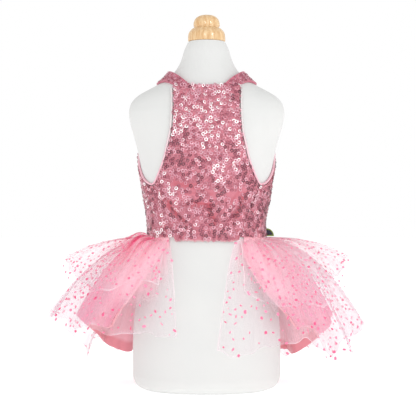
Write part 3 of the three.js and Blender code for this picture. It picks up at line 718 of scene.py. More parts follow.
def net(name, thin, gathered, thread_share, streaks, edge_cover):
    """Fine nylon net: open cells, closer where the gathers pack its layers. There its colour deepens,
    partly for the packed layers and partly as painted shade in the folds, beside a painted highlight on
    the gathers; it blushes where it doubles over, and its cut edges carry a painted highlight line."""
    made, tree, shader = new_material(name, Roughness=0.7, **{"Specular IOR Level": 0.2})
    cloth = node(tree, "ShaderNodeUVMap", uv_map="cloth").outputs[0]
    packed = node(tree, "ShaderNodeAttribute", attribute_name="layers").outputs["Fac"]
    edge = node(tree, "ShaderNodeAttribute", attribute_name="edge").outputs["Fac"]
    # Cells 1.8 mm wide, about twice the real ones, so that they show
    cells = node(tree, "ShaderNodeTexVoronoi", {"Vector": cloth, "Scale": 560, "Randomness": 0.35},
                 feature="DISTANCE_TO_EDGE")
    threads = node(tree, "ShaderNodeMapRange", {"Value": cells.outputs["Distance"], "From Min": 0.1,
                                                "From Max": 0.2, "To Min": 1, "To Max": 0})
    stretched = node(tree, "ShaderNodeMapping", {"Vector": cloth, "Scale": (1, 0.1, 1)})
    folds = node(tree, "ShaderNodeTexNoise", {"Vector": stretched.outputs[0], "Scale": 120,
                                              "Detail": 3})
    pleats = node(tree, "ShaderNodeMapRange", {"Value": folds.outputs[0], "From Min": 0.42,
                                               "From Max": 0.58, "To Min": 0.8, "To Max": 1.2})
    layers = node(tree, "ShaderNodeMath", {0: packed, 1: pleats.outputs[0]}, operation="MULTIPLY")
    spread = node(tree, "ShaderNodeMapRange", {
        "Value": folds.outputs[0], "From Min": 0.35, "From Max": 0.65,
        "To Min": thread_share - streaks, "To Max": thread_share + streaks})
    open_share = node(tree, "ShaderNodeMath", {0: threads.outputs[0], 1: 0.35, 2: 0.85},
                      operation="MULTIPLY_ADD")
    one_layer = node(tree, "ShaderNodeMath", {0: spread.outputs[0], 1: open_share.outputs[0]},
                     operation="MULTIPLY", use_clamp=True)
    clear = node(tree, "ShaderNodeMath", {0: 1.0, 1: one_layer.outputs[0]}, operation="SUBTRACT")
    clear_all = node(tree, "ShaderNodeMath", {0: clear.outputs[0], 1: layers.outputs[0]},
                     operation="POWER")
    cover = node(tree, "ShaderNodeMath", {0: 1.0, 1: clear_all.outputs[0]}, operation="SUBTRACT")
    # The cut edge shows more, and gets a painted highlight, along some stretches only
    stretches = node(tree, "ShaderNodeTexNoise", {"Vector": cloth, "Scale": 28, "Detail": 1})
    highlight_stretches = node(tree, "ShaderNodeMapRange", {"Value": stretches.outputs[0], "From Min": 0.42,
                                               "From Max": 0.6, "To Min": 0.12, "To Max": 1})
    line = node(tree, "ShaderNodeMath", {0: edge, 1: highlight_stretches.outputs[0]}, operation="MULTIPLY")
    seen = node(tree, "ShaderNodeMath", {0: line.outputs[0], 1: edge_cover, 2: cover.outputs[0]},
                operation="MULTIPLY_ADD", use_clamp=True)
    # Most of the light that the threads stop is passed on, so the net shades little
    direct = node(tree, "ShaderNodeLightPath").outputs["Is Camera Ray"]
    stopped = node(tree, "ShaderNodeMath", {0: direct, 1: 0.88, 2: 0.12}, operation="MULTIPLY_ADD")
    alpha = node(tree, "ShaderNodeMath", {0: seen.outputs[0], 1: stopped.outputs[0]},
                 operation="MULTIPLY")
    # Painted highlight on the gathers and painted shade in their folds, over the deeper colour of the
    # packed layers
    depth = node(tree, "ShaderNodeAttribute", attribute_name="gathered").outputs["Fac"]
    bunches = node(tree, "ShaderNodeTexNoise", {"Vector": stretched.outputs[0], "Scale": 52,
                                                "Detail": 1})
    in_fold = node(tree, "ShaderNodeMapRange", {"Value": bunches.outputs[0], "From Min": 0.41,
                                                "From Max": 0.53, "To Min": 0.1, "To Max": 1})
    deep = node(tree, "ShaderNodeMath", {0: depth, 1: in_fold.outputs[0]}, operation="MULTIPLY")
    gather_highlight = node(tree, "ShaderNodeMix", {0: depth, 6: (*thin, 1), 7: (*rgb("FFD2DC"), 1)},
                 data_type="RGBA")
    gather_light_and_shade = node(tree, "ShaderNodeMix", {0: deep.outputs[0], 6: gather_highlight.outputs[2],
                                        7: (*gathered, 1)}, data_type="RGBA")
    doubled = node(tree, "ShaderNodeAttribute", attribute_name="doubled").outputs["Fac"]
    blush = node(tree, "ShaderNodeMix", {0: doubled, 6: gather_light_and_shade.outputs[2], 7: (*rgb("FBC0CE"), 1)},
                 data_type="RGBA")
    # Painted highlight along the cut edge
    edge_highlight = node(tree, "ShaderNodeMix", {0: line.outputs[0], 6: blush.outputs[2],
                                       7: (*rgb("F8E8ED"), 1)}, data_type="RGBA")
    set_inputs(tree, shader, Base_Color=edge_highlight.outputs[2], Alpha=alpha.outputs[0])
    return made


def flock(colours):
    """Flocked dots: short dense fibres glued on the net, matt and velvety, each dyed a little apart."""
    made, tree, shader = new_material("pink flock", Roughness=0.9, **{
        "Sheen Weight": 0.3, "Sheen Roughness": 0.6})
    tone = node(tree, "ShaderNodeAttribute", attribute_name="tone")
    colour = node(tree, "ShaderNodeMix", {0: tone.outputs["Fac"], 6: (*colours.dots, 1),
                                          7: (*rgb("F894B4"), 1)}, data_type="RGBA")
    set_inputs(tree, shader, Base_Color=colour.outputs[2])
    return made


def woven_label(colours):
    """A woven polyester label: dark navy with a lime edge of close threads."""
    made, tree, shader = new_material("woven label", Roughness=0.55)
    edge = node(tree, "ShaderNodeAttribute", attribute_name="edge").outputs["Fac"]
    cloth = node(tree, "ShaderNodeUVMap", uv_map="cloth").outputs[0]
    # Threads 0.5 mm apart
    threads = node(tree, "ShaderNodeTexWave", {"Vector": cloth, "Scale": 640, "Distortion": 1})
    tone = node(tree, "ShaderNodeMix", {0: edge, 6: (*colours.label, 1), 7: (*colours.label_edge, 1)},
                data_type="RGBA")
    shaded = node(tree, "ShaderNodeMix", {0: threads.outputs[1], 6: tone.outputs[2],
                                          7: (*rgb("1A1A2C"), 1)}, data_type="RGBA")
    bump = node(tree, "ShaderNodeBump", {"Height": threads.outputs[1], "Strength": 0.4,
                                         "Distance": 0.0003})
    set_inputs(tree, shader, Base_Color=shaded.outputs[2], Normal=bump.outputs[0])
    return made


def paper_floor():
    """Matt white background paper, lit from below so that it stays white round the form."""
    made, tree, shader = new_material("backlit white paper", Roughness=0.95, **{
        "Specular IOR Level": 0.1, "Emission Color": (1, 1, 1, 1), "Emission Strength": 0.42})
    place = node(tree, "ShaderNodeTexCoord").outputs["Object"]
    fibres = node(tree, "ShaderNodeTexNoise", {"Vector": place, "Scale": 400, "Detail": 2})
    tone = node(tree, "ShaderNodeMix", {0: fibres.outputs[0], 6: (*rgb("FDFDFD"), 1),
                                        7: (*rgb("FFFFFF"), 1)}, data_type="RGBA")
    set_inputs(tree, shader, Base_Color=tone.outputs[2])
    return made


def finish(piece, material, slot, *nodes):
    """Gives a piece its material and its body, and hides the CAD nodes that it stands for. Its slot is
    not used.
    """
    piece.data.materials.clear()
    piece.data.materials.append(material)
    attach(piece, "root")
    if nodes:
        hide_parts(*nodes)
    return piece


# Geometry Nodes that sew or glue one small piece all over a cloth


def scatter_tree():
    """Sets copies of a small piece on a cloth, no closer than a spacing, each tipped and sized apart.
    The cloth's marks say how closely they lie and which way their tone, from 0 to 1, is moved: for
    sequins that is a painted highlight or painted shade, for dots it makes them paler."""
    tree = bpy.data.node_groups.new("Small Pieces On Cloth", "GeometryNodeTree")
    tree.interface.new_socket("Cloth", in_out="INPUT", socket_type="NodeSocketGeometry")
    for name, kind in [
        ("Piece", "NodeSocketObject"), ("Finish", "NodeSocketMaterial"), ("Seed", "NodeSocketInt"),
        ("Spacing", "NodeSocketFloat"), ("Most Per Square Metre", "NodeSocketFloat"),
        ("Smallest", "NodeSocketVector"), ("Largest", "NodeSocketVector"),
        ("Tip", "NodeSocketFloat"), ("Stand Off", "NodeSocketFloat"), ("Variety", "NodeSocketFloat"),
    ]:
        tree.interface.new_socket(name, in_out="INPUT", socket_type=kind)
    tree.interface.new_socket("Pieces", in_out="OUTPUT", socket_type="NodeSocketGeometry")
    given = node(tree, "NodeGroupInput").outputs
    cover = node(tree, "GeometryNodeInputNamedAttribute", {"Name": "cover"}, data_type="FLOAT")
    points = node(tree, "GeometryNodeDistributePointsOnFaces", {
        "Mesh": given["Cloth"], "Distance Min": given["Spacing"],
        "Density Max": given["Most Per Square Metre"], "Density Factor": cover.outputs[0],
        "Seed": given["Seed"]}, distribute_method="POISSON").outputs
    away = node(tree, "ShaderNodeVectorMath", {0: points["Normal"], "Scale": given["Stand Off"]},
                operation="SCALE")
    raised = node(tree, "GeometryNodeSetPosition", {"Geometry": points["Points"],
                                                    "Offset": away.outputs[0]})
    full_turn = node(tree, "ShaderNodeCombineXYZ", {0: given["Tip"], 1: given["Tip"],
                                                    2: 2 * math.pi})
    back_turn = node(tree, "ShaderNodeVectorMath", {0: full_turn.outputs[0], 1: (-1, -1, 0)},
                     operation="MULTIPLY")
    tip = node(tree, "FunctionNodeRandomValue", {"Min": back_turn.outputs[0],
                                                 "Max": full_turn.outputs[0],
                                                 "Seed": given["Seed"]}, data_type="FLOAT_VECTOR")
    tip_turn = node(tree, "FunctionNodeEulerToRotation", {0: tip.outputs[0]})
    turned = node(tree, "FunctionNodeRotateRotation", {0: points["Rotation"],
                                                       1: tip_turn.outputs[0]},
                  rotation_space="LOCAL")
    size = node(tree, "FunctionNodeRandomValue", {"Min": given["Smallest"], "Max": given["Largest"],
                                                  "Seed": given["Seed"]}, data_type="FLOAT_VECTOR")
    piece = node(tree, "GeometryNodeObjectInfo", {"Object": given["Piece"], "As Instance": True})
    placed = node(tree, "GeometryNodeInstanceOnPoints", {
        "Points": raised.outputs[0], "Instance": piece.outputs["Geometry"],
        "Rotation": turned.outputs[0], "Scale": size.outputs[0]})
    chance = node(tree, "FunctionNodeRandomValue", {2: -0.5, 3: 0.5, "Seed": 7}, data_type="FLOAT")
    # Painted highlight or shade for sequins, and paleness for dots, read from the cloth
    glint = node(tree, "GeometryNodeInputNamedAttribute", {"Name": "glint"}, data_type="FLOAT")
    middle = node(tree, "ShaderNodeMath", {0: glint.outputs[0], 1: 0.5}, operation="ADD")
    tone = node(tree, "ShaderNodeMath", {0: chance.outputs[1], 1: given["Variety"],
                                         2: middle.outputs[0]},
                operation="MULTIPLY_ADD", use_clamp=True)
    marked = node(tree, "GeometryNodeStoreNamedAttribute", {
        "Geometry": placed.outputs[0], "Name": "tone", "Value": tone.outputs[0]},
        data_type="FLOAT", domain="INSTANCE")
    whole = node(tree, "GeometryNodeRealizeInstances", {"Geometry": marked.outputs[0]})
    dressed = node(tree, "GeometryNodeSetMaterial", {"Geometry": whole.outputs[0],
                                                     "Material": given["Finish"]})
    node(tree, "NodeGroupOutput", {"Pieces": dressed.outputs[0]})
    return tree


def scatter(name, cloth, piece, material, slot, **values):
    """Runs the tree over a cloth and keeps its result as a plain mesh that rides with the cloth."""
    tree = bpy.data.node_groups.get("Small Pieces On Cloth") or scatter_tree()
    holder = bpy.data.objects.new(name + "_holder", cloth.data)
    bpy.context.scene.collection.objects.link(holder)
    run = holder.modifiers.new("Small Pieces", "NODES")
    run.node_group = tree
    values = {"Piece": piece, "Finish": material, **values}
    for socket in tree.interface.items_tree:
        title = socket.name.replace(" ", "_")
        if title in values:
            run[socket.identifier] = values[title]
    graph = bpy.context.evaluated_depsgraph_get()
    data = bpy.data.meshes.new_from_object(holder.evaluated_get(graph), depsgraph=graph)
    bpy.data.objects.remove(holder)
    data.name = name
    made = bpy.data.objects.new(name, data)
    bpy.context.scene.collection.objects.link(made)
    if not len(data.polygons):
        raise RuntimeError(f"{name} came out empty")
    return finish(made, material, slot)


def sequin_ring(width):
    """One ring sequin, a little raised round its hole."""
    corners = 10
    turns = np.linspace(0, 2 * math.pi, corners, endpoint=False)
    rounds = [(0.5, 0.0), (0.25, 0.06), (0.25, -0.02)]
    points = [(r * math.cos(t), r * math.sin(t), h) for r, h in rounds for t in turns]
    faces = []
    for k in range(len(rounds)):
        for j in range(corners):
            n = (j + 1) % corners
            low, high = k * corners, (k + 1) % len(rounds) * corners
            faces.append((low + j, low + n, high + n, high + j))
    ring = new_mesh("sequin_ring", np.array(points) * width / MM, faces)
    ring.data.shade_flat()
    bpy.context.scene.collection.objects.unlink(ring)
    return ring


def net_dot(width):
    """One flocked dot: a shallow lens on both faces of the net, a little out of round."""
    corners = 9
    turns = np.linspace(0, 2 * math.pi, corners, endpoint=False)
    radii = 0.5 * (1 + 0.12 * np.sin(2 * turns + 0.6) + 0.07 * np.cos(3 * turns))
    points = [(r * math.cos(t), r * math.sin(t), 0) for r, t in zip(radii, turns)]
    points += [(0, 0, 0.09), (0, 0, -0.09)]
    faces = [(j, (j + 1) % corners, corners) for j in range(corners)]
    faces += [((j + 1) % corners, j, corners + 1) for j in range(corners)]
    dot = new_mesh("net_dot", np.array(points) * width / MM, faces)
    dot.data.shade_flat()
    bpy.context.scene.collection.objects.unlink(dot)
    return dot


# The bodice's surfaces


def near_line(x, z, from_x, from_z, to_x, to_z, width):
    """1 on a straight line on the chest, falling to 0 over its width."""
    along = np.array([to_x - from_x, to_z - from_z], float)
    share = ((x - from_x) * along[0] + (z - from_z) * along[1]) / (along @ along)
    share = np.clip(share, 0, 1)
    off_x = x - from_x - share * along[0]
    off_z = z - from_z - share * along[1]
    return np.exp(-(off_x ** 2 + off_z ** 2) / width ** 2)


def fold_lift(x, z):
    """Height of the chest panel's creases at points of it."""
    return sum(height * near_line(x, z, *ends, width) for *ends, height, width in CHEST_FOLDS)


def sequin_cover(x, z):
    """How closely each place of the chest is sewn with sequins: not on its hem, little in creases."""
    bare = sum(near_line(x, z, *crease) for crease in BARE_CREASES)
    return np.clip(1 - 0.6 * bare, 0.4, 1) * (z > SEQUINS_FROM)


def valley_depth(x, z):
    """How deep in the troughs of its creases each place of the chest lies, from 0 to 1. It sets where
    shade is painted.
    """
    deepest = -min(height for *ends, height, width in CHEST_FOLDS)
    deep = sum(-height / deepest * near_line(x, z, *ends, 0.75 * width)
               for *ends, height, width in CHEST_FOLDS if height < 0)
    lines = sum(near_line(x, z, *ends, 0.35 * width) for *ends, width in BARE_CREASES)
    return np.clip(deep + 0.5 * lines, 0, 1)


def seam_angle(z):
    share = (z - BACK_HEM) / (ARMHOLE_BOTTOM - BACK_HEM)
    return lerp(SEAM_ANGLE_AT_HEM, SEAM_ANGLE_AT_ARMHOLE, share)


def chest_edge_angle(z):
    above = angle_of_half_width(read(CHEST_WIDTHS, "z", "half_width", z), z)
    return np.where(z <= ARMHOLE_BOTTOM, seam_angle(z), above) - SEAM_GAP_ANGLE


def chest_surface(extra):
    """The chest panel, standing off the form by its folds, and drawn in by the elastic at its hem."""
    heights = np.concatenate([np.linspace(CHEST_HEM, ARMHOLE_BOTTOM, 60),
                              np.linspace(ARMHOLE_BOTTOM, NECK_EDGE, 84)[1:]])[::-1]
    share, z = np.meshgrid(np.linspace(-1, 1, 151), heights)
    points = form_point(share * chest_edge_angle(z), z)
    bag = bell(z, 197, 20) * (1 - share ** 6)
    hem = bell(z, CHEST_HEM, 6)
    draw = bell(z, CHEST_HEM, 14)
    pucker = 0.5 * (1 + np.cos(math.pi * 9 * share)) * hem
    gather = 0.4 * (1 + np.sin(41 * share + 2 * np.sin(7 * share))) * draw
    creases = CREASE_DEPTH * fold_lift(points[..., 0], z)
    lift = bag * (2.5 + creases) + pucker + gather
    uneven = np.sin(23 * share + 4 * np.sin(5 * share)) + 0.6 * np.sin(51 * share + 1)
    points[..., 2] += 0.45 * uneven * hem
    return seat(points, CLOTH_CLEARANCE + lift + extra), points[..., 0], z


def sequin_painted_light(x, z):
    """How much painted highlight, above 0, or painted shade, below 0, each place's sequins get: lighter
    higher up and on crease ridges, darker in the troughs and in the listed patches.
    """
    lighter_higher_up = np.clip((z - 225) / 60, -0.6, 1)
    mark = 0.07 * lighter_higher_up - 0.02 + 0.06 * fold_lift(x, z) - 0.28 * valley_depth(x, z)
    for at_x, at_z, radius, amount in SEQUIN_HIGHLIGHT_AND_SHADE:
        mark += amount * np.exp(-((x - at_x) ** 2 + (z - at_z) ** 2) / radius ** 2)
    return np.clip(mark, -0.75, 0.75)


def back_point(line, height):
    """Points of the back panel: line runs from 0 at the -X seam to 24 at the +X seam."""
    mirrored = line > BACK_MIDDLE
    start = np.where(mirrored, 2 * BACK_MIDDLE - line, line)
    angle = lerp(read(BACK_LINES, "line", "hem_angle", start),
                 read(BACK_LINES, "line", "top_angle", start), height)
    angle = angle + SEAM_GAP_ANGLE * (1 - start / BACK_MIDDLE)
    z = lerp(BACK_HEM, read(BACK_LINES, "line", "top_z", start), height)
    return form_point(np.where(mirrored, 360 - angle, angle), z)


def back_surface(extra):
    """The back panel from side seam to side seam, with soft folds where it bags at the waist."""
    line, height = np.meshgrid(np.linspace(0, 2 * BACK_MIDDLE, 241), np.linspace(1, 0, 101))
    points = back_point(line, height)
    z = points[..., 2]
    from_seam = np.minimum(line, 2 * BACK_MIDDLE - line)
    bag = bell(z, 208, 22) * bell(from_seam, 4, 3)
    armhole = height ** 4 * bell(from_seam, 3, 3)
    hollow = bell(z, 196, 24)
    folds = 0.7 * np.sin(1.9 * line + 0.06 * z) + 0.5 * np.sin(3.3 * line - 0.11 * z + 1)
    lift = 1.6 * np.exp(-height / 0.12) + 1.3 * bag + 0.8 * armhole
    lift = lift + np.maximum(folds, -0.6) * hollow * (1 - height ** 4)
    return seat(points, CLOTH_CLEARANCE + lift + extra), line, z


def strap_surface(side):
    """Both faces of one strap over a shoulder: side is -1 for the -X shoulder and 1 for the +X one."""
    edges = []
    for inner_edge in (True, False):
        corners = []
        for share, towards, inner_place, outer_place in STRAP_EDGES:
            x, z = inner_place if inner_edge else outer_place
            depth = abs(form_point(angle_of_half_width(x, z), np.float64(z))[1]) if towards else 0
            corners.append((share, side * x, towards * depth, z))
        edges.append(table("share x y z", corners))
    along = np.linspace(0, 1, 61)
    across = np.linspace(0, 1, 17)
    lines = [np.stack([read(e, "share", c, along) for c in "xyz"], -1) for e in edges]
    points = lerp(lines[0][:, None], lines[1][:, None], across[None, :, None])
    if side < 0:
        points = points[:, ::-1]
        across = across[::-1]
    arch = np.sin(math.pi * along)[:, None]
    lift = arch * (0.4 + 2 * (1 - across)[None, :] ** 2)
    ripple = 0.25 * np.sin(14 * along[:, None] + 5 * across[None, :])
    outer = CLOTH_CLEARANCE + lift + ripple + BODICE_WALL
    return seat(points, UNDERSIDE_CLEARANCE + 0.3 * lift), seat(points, outer)


def binding_path(side):
    """The middle line of one armhole's binding, with its directions across and off the form."""
    chest_z = np.linspace(NECK_EDGE - 2, ARMHOLE_BOTTOM, 70)
    chest = form_point(chest_edge_angle(chest_z) + SEAM_GAP_ANGLE, chest_z)
    lines = np.linspace(0, BACK_ARMHOLE_LINES - 0.1, 90)[1:]
    path = np.concatenate([chest, back_point(lines, np.ones_like(lines))])
    # Rounds the corner where the chest's edge meets the back's
    window = np.hanning(13) / np.hanning(13).sum()
    padded = np.concatenate([np.repeat(path[:1], 6, 0), path, np.repeat(path[-1:], 6, 0)])
    path = np.stack([np.convolve(padded[:, k], window, "valid") for k in range(3)], -1)
    path[:, 0] = side * np.abs(path[:, 0])
    outwards = unit(form_slope(path))
    across = unit(np.cross(np.gradient(path, axis=0), outwards)) * -side
    middle = path + across * (BINDING_GAP + BINDING_WIDTH / 2)
    return seat(middle, UNDERSIDE_CLEARANCE + BINDING_THICKNESS / 2), across, outwards


# The skirt's surfaces


def skirt_surface(lines, layer, ragged=0.0, eased=()):
    """A tier's wall from waist to hem, with the gathers and flutes that all the tiers share. Its hem
    is ragged by a share of its length, and hangs lower where it is eased: angle, spread, extra drop."""
    drops = np.concatenate([[0], 0.004 + 0.988 * np.linspace(0, 1, 46) ** 1.25, [1]])
    columns = np.linspace(0, SKIRT_COLUMNS, 5 * SKIRT_COLUMNS + 1)
    column, drop = np.meshgrid(columns, drops)
    angle = lerp(SKIRT_ANGLES[0], SKIRT_ANGLES[1], column / SKIRT_COLUMNS)
    reach, fall_to, fall, flare = (
        read(lines, "angle", name, angle) for name in ("reach", "drop", "fall", "flare"))
    uneven = 1 + ragged * (np.sin(1.7 * column) + 0.6 * np.sin(4.1 * column + 1))
    extra = sum(more * bell(angle, at, spread) for at, spread, more in eased)
    reach, fall_to = reach * uneven, fall_to * uneven + extra
    bend = np.sqrt(fall)
    turn = np.radians(flare)
    outwards = np.stack([-np.sin(turn), -np.cos(turn), np.zeros_like(turn)], -1)

    def path(share):
        out = outwards * (reach * share ** (1 / bend))[..., None]
        out[..., 2] = -fall_to * share ** bend
        return out

    step = 0.02
    along = unit(path(drop + step) - path(np.maximum(drop - step, 0)))
    up = np.array([0, 0, 1.0])
    upwards = unit(up - along * (along @ up)[..., None])
    from_waist = path(drop)
    distance = np.linalg.norm(from_waist, axis=-1)
    stack = layer * (NET_WALL + TIER_GAP)
    gather = np.cos(2 * math.pi * column / COLUMNS_PER_GATHER) * (1 - drop) ** 2
    flute = np.cos(2 * math.pi * column * FLUTES / SKIRT_COLUMNS)
    opened = np.clip(distance / FLUTE_REACH, 0, 1.2)
    # Smaller uneven folds between the flutes, the same in every tier so that none meets the next
    crumple = (0.9 * np.sin(1.31 * column + 0.03 * distance)
               + 0.6 * np.sin(2.9 * column - 0.045 * distance + 1.7)
               + 0.35 * np.sin(5.3 * column + 0.06 * distance + 0.4))
    lift = stack + GATHER_DEPTH * gather + FLUTE_DEPTH * opened ** 1.4 * flute
    puff = bell(angle, PUFF_ANGLE, 13) * bell(distance, 11, 11)
    lift = lift + crumple * opened * 0.8 + PUFF_HEIGHT * puff
    waist = seat(form_point(angle, np.full_like(angle, WAIST_SEAM)), np.full_like(angle, SEAM_STAND))
    away = CLOTH_CLEARANCE + NET_WALL / 2
    points = waist + from_waist + upwards * lift[..., None]
    return keep_off(points, away + stack)


def tier_marks(grid, folds):
    """The cloth's own measure, how many layers its gathers pack, and where its cut edges run.
    Its loose folds lie `folds` deep at the sides."""
    columns = grid.shape[1]
    across = np.linalg.norm(np.gradient(grid, axis=1), axis=-1)
    widest = across[-1].mean()
    along = lengths_along(grid, 0)
    column = np.linspace(0, SKIRT_COLUMNS, columns)[None, :]
    gathered = bell(along, 0, GATHER_REACH)
    packed = 1 + gathered * np.clip(widest / np.maximum(across, 0.05) - 1, 0, 1)
    # The net doubles over along the front edge of the pink petal on each side
    left_fold = bell(column - 0.8, 0.045 * along, 1.5)
    right_fold = 0.6 * bell(SKIRT_COLUMNS - column - 2, 0.05 * along, 1.8)
    doubled = (left_fold + right_fold) * np.clip((85 - along) / 25, 0, 1)
    to_hem = along[-1:] - along
    from_front = lengths_along(grid, 1)
    to_front = np.minimum(from_front, from_front[:, -1:] - from_front)
    edge = np.clip(1.3 - np.minimum(to_hem, to_front), 0, 1)
    flat_u = np.linspace(0, 1, columns)[None, :] * widest * (columns - 1)
    uv = np.stack(np.broadcast_arrays(flat_u, along), -1)
    # The gathers' colour is strongest on the left side, partly for the packed layers and partly as
    # painted shade and highlight. Few dots, and pale ones, lie along the front edges, where the net is
    # one layer or less.
    gathers_and_painted_light = bell(along, 0, GATHER_COLOUR_REACH) * (0.4 + 0.8 * bell(column, 9, 7))
    from_edge = np.minimum(column, SKIRT_COLUMNS - column)
    front = bell(from_edge, 0, 5)
    folded = folds * (1 - 0.7 * bell(from_edge, 0, 12))
    marks = {"layers": packed * folded + gathered + 2 * doubled, "gathered": gathers_and_painted_light,
             "doubled": np.clip(doubled, 0, 1), "edge": edge,
             "hem": np.clip((HEM_BAND - to_hem) / 1.5, 0, 1)}
    return uv, {**marks, "glint": 0 * edge + 0.3 * front, "cover": 0 * edge + 1 - 0.35 * front}


def net_sheet(name, lines, layer, folds, **limits):
    grid = skirt_surface(lines, layer, **limits)
    rows, columns = grid.shape[:2]
    uv, marks = tier_marks(grid, folds)
    return new_mesh(name, grid, grid_faces(rows, columns), uv, marks)


# What a user may change


class TutuDressSizes(bpy.types.PropertyGroup):
    sequin_width: bpy.props.FloatProperty(
        name="Sequin Width", description="Width of one ring sequin", default=0.0042,
        min=0.002, max=0.008, unit="LENGTH", precision=4)
    sequin_spacing: bpy.props.FloatProperty(
        name="Sequin Spacing", description="Least distance from one sequin's middle to the next",
        default=0.0029, min=0.002, max=0.01, unit="LENGTH", precision=4)
    sequin_tip: bpy.props.FloatProperty(
        name="Sequin Tip", description="Most that a sequin tips from the cloth",
        default=math.radians(24), min=0, max=1, unit="ROTATION")
    dot_width: bpy.props.FloatProperty(
        name="Dot Width", description="Width of a usual dot on the net", default=0.0033,
        min=0.001, max=0.01, unit="LENGTH", precision=4)
    dot_spacing: bpy.props.FloatProperty(
        name="Dot Spacing", description="Least distance from one dot's middle to the next",
        default=0.0058, min=0.003, max=0.03, unit="LENGTH", precision=4)


class TutuDressColours(bpy.types.PropertyGroup):
    form: bpy.props.FloatVectorProperty(
        name="Form", description="White of the dress form", subtype="COLOR", default=rgb("D6D7D6"))
    cloth: bpy.props.FloatVectorProperty(
        name="Cloth", description="Rose of the sequins' ground", subtype="COLOR",
        default=rgb("CF7C8B"))
    sequin: bpy.props.FloatVectorProperty(
        name="Sequins", description="Rose of most sequins", subtype="COLOR", default=rgb("C57C8A"))
    # Painted highlight, near white, of the sequins that catch the light
    sequin_light: bpy.props.FloatVectorProperty(
        name="Light Sequins", description="Sequins that catch the light", subtype="COLOR",
        default=rgb("FFFAFB"))
    # Painted shade, dark, of the sequins that face away from the light
    sequin_shade: bpy.props.FloatVectorProperty(
        name="Dark Sequins", description="Sequins that face away from the light", subtype="COLOR",
        default=rgb("6E3444"))
    lining: bpy.props.FloatVectorProperty(
        name="Lining", description="Salmon of the lining", subtype="COLOR", default=rgb("F8C0CA"))
    pink_net: bpy.props.FloatVectorProperty(
        name="Pink Net", description="Pink of the plain net", subtype="COLOR",
        default=rgb("E993AE"))
    clear_net: bpy.props.FloatVectorProperty(
        name="Clear Net", description="Nearly white net of the dotted tiers", subtype="COLOR",
        default=rgb("E0CCD5"))
    dots: bpy.props.FloatVectorProperty(
        name="Dots", description="Deepest pink of the dots", subtype="COLOR", default=rgb("EE3F7A"))
    label: bpy.props.FloatVectorProperty(
        name="Label", description="Navy of the side label", subtype="COLOR", default=rgb("2A2A45"))
    label_edge: bpy.props.FloatVectorProperty(
        name="Label Edge", description="Lime of the label's edge", subtype="COLOR",
        default=rgb("B5D33A"))


# The stage. The floor's reach is in millimetres, as new_mesh takes it, and the rest is in metres.
FLOOR_REACH = 6000
CAMERA_PLACE = (0.0015, -1.227, 0.1977)
LENS_LENGTH = 96.5
AIMED_AT = Vector((0, 0, 0.25))
LAMPS = [
    # name, place, size, watts, whether it lights matt surfaces too
    ("key_softbox", (1.1, -1.3, 0.35), 0.7, 3.2, True),
    ("front_fill", (-0.4, -1.7, 0.1), 0.9, 2.2, True),
    ("back_fill", (0.3, 1.8, 0.9), 1.2, 1, True),
    ("right_sparkle", (0.9, -1.2, 0.85), 0.2, 4, False),
    ("left_sparkle", (-0.3, -1.5, 0.8), 0.14, 2, False),
]


class TUTU_OT_stage(bpy.types.Operator):
    """White paper floor, soft studio light and the camera, level with the lower bodice"""

    bl_idname = "tutu.stage"
    bl_label = "Studio Stage"

    def execute(self, context):
        scene = context.scene
        corners = [(x * FLOOR_REACH, y * FLOOR_REACH, 0)
                   for x, y in ((-1, -1), (1, -1), (1, 1), (-1, 1))]
        floor = new_mesh("floor", corners, [(0, 1, 2, 3)])
        floor.data.materials.append(paper_floor())
        scene.world = bpy.data.worlds.new("white studio")
        scene.world.use_nodes = True
        tree = scene.world.node_tree
        tree.nodes.clear()
        # White all round above the floor, and dimmer overhead
        place = node(tree, "ShaderNodeTexCoord").outputs["Generated"]
        height = node(tree, "ShaderNodeSeparateXYZ", {0: place}).outputs["Z"]
        strength = node(tree, "ShaderNodeMapRange", {"Value": height, "From Min": 0.22,
                                                     "From Max": 0.75, "To Min": 1, "To Max": 0.87})
        light = node(tree, "ShaderNodeBackground", {"Color": (1, 1, 1, 1),
                                                    "Strength": strength.outputs[0]})
        node(tree, "ShaderNodeOutputWorld", {"Surface": light.outputs[0]})
        # The two small lamps only put highlights on the varnish and the film
        for name, place, size, watts, lights_matt in LAMPS:
            lamp = bpy.data.lights.new(name, "AREA")
            lamp.size = size
            lamp.energy = watts
            holder = bpy.data.objects.new(name, lamp)
            holder.location = place
            to_dress = AIMED_AT - holder.location
            holder.rotation_euler = to_dress.to_track_quat("-Z", "Y").to_euler()
            holder.visible_diffuse = lights_matt
            scene.collection.objects.link(holder)
        lens = bpy.data.cameras.new("camera")
        lens.lens = LENS_LENGTH
        lens.sensor_width = 36
        camera = bpy.data.objects.new("camera", lens)
        camera.location = CAMERA_PLACE
        camera.rotation_euler = (math.pi / 2, 0, 0)
        scene.collection.objects.link(camera)
        scene.camera = camera
        scene.view_settings.view_transform = "Standard"
        return {"FINISHED"}


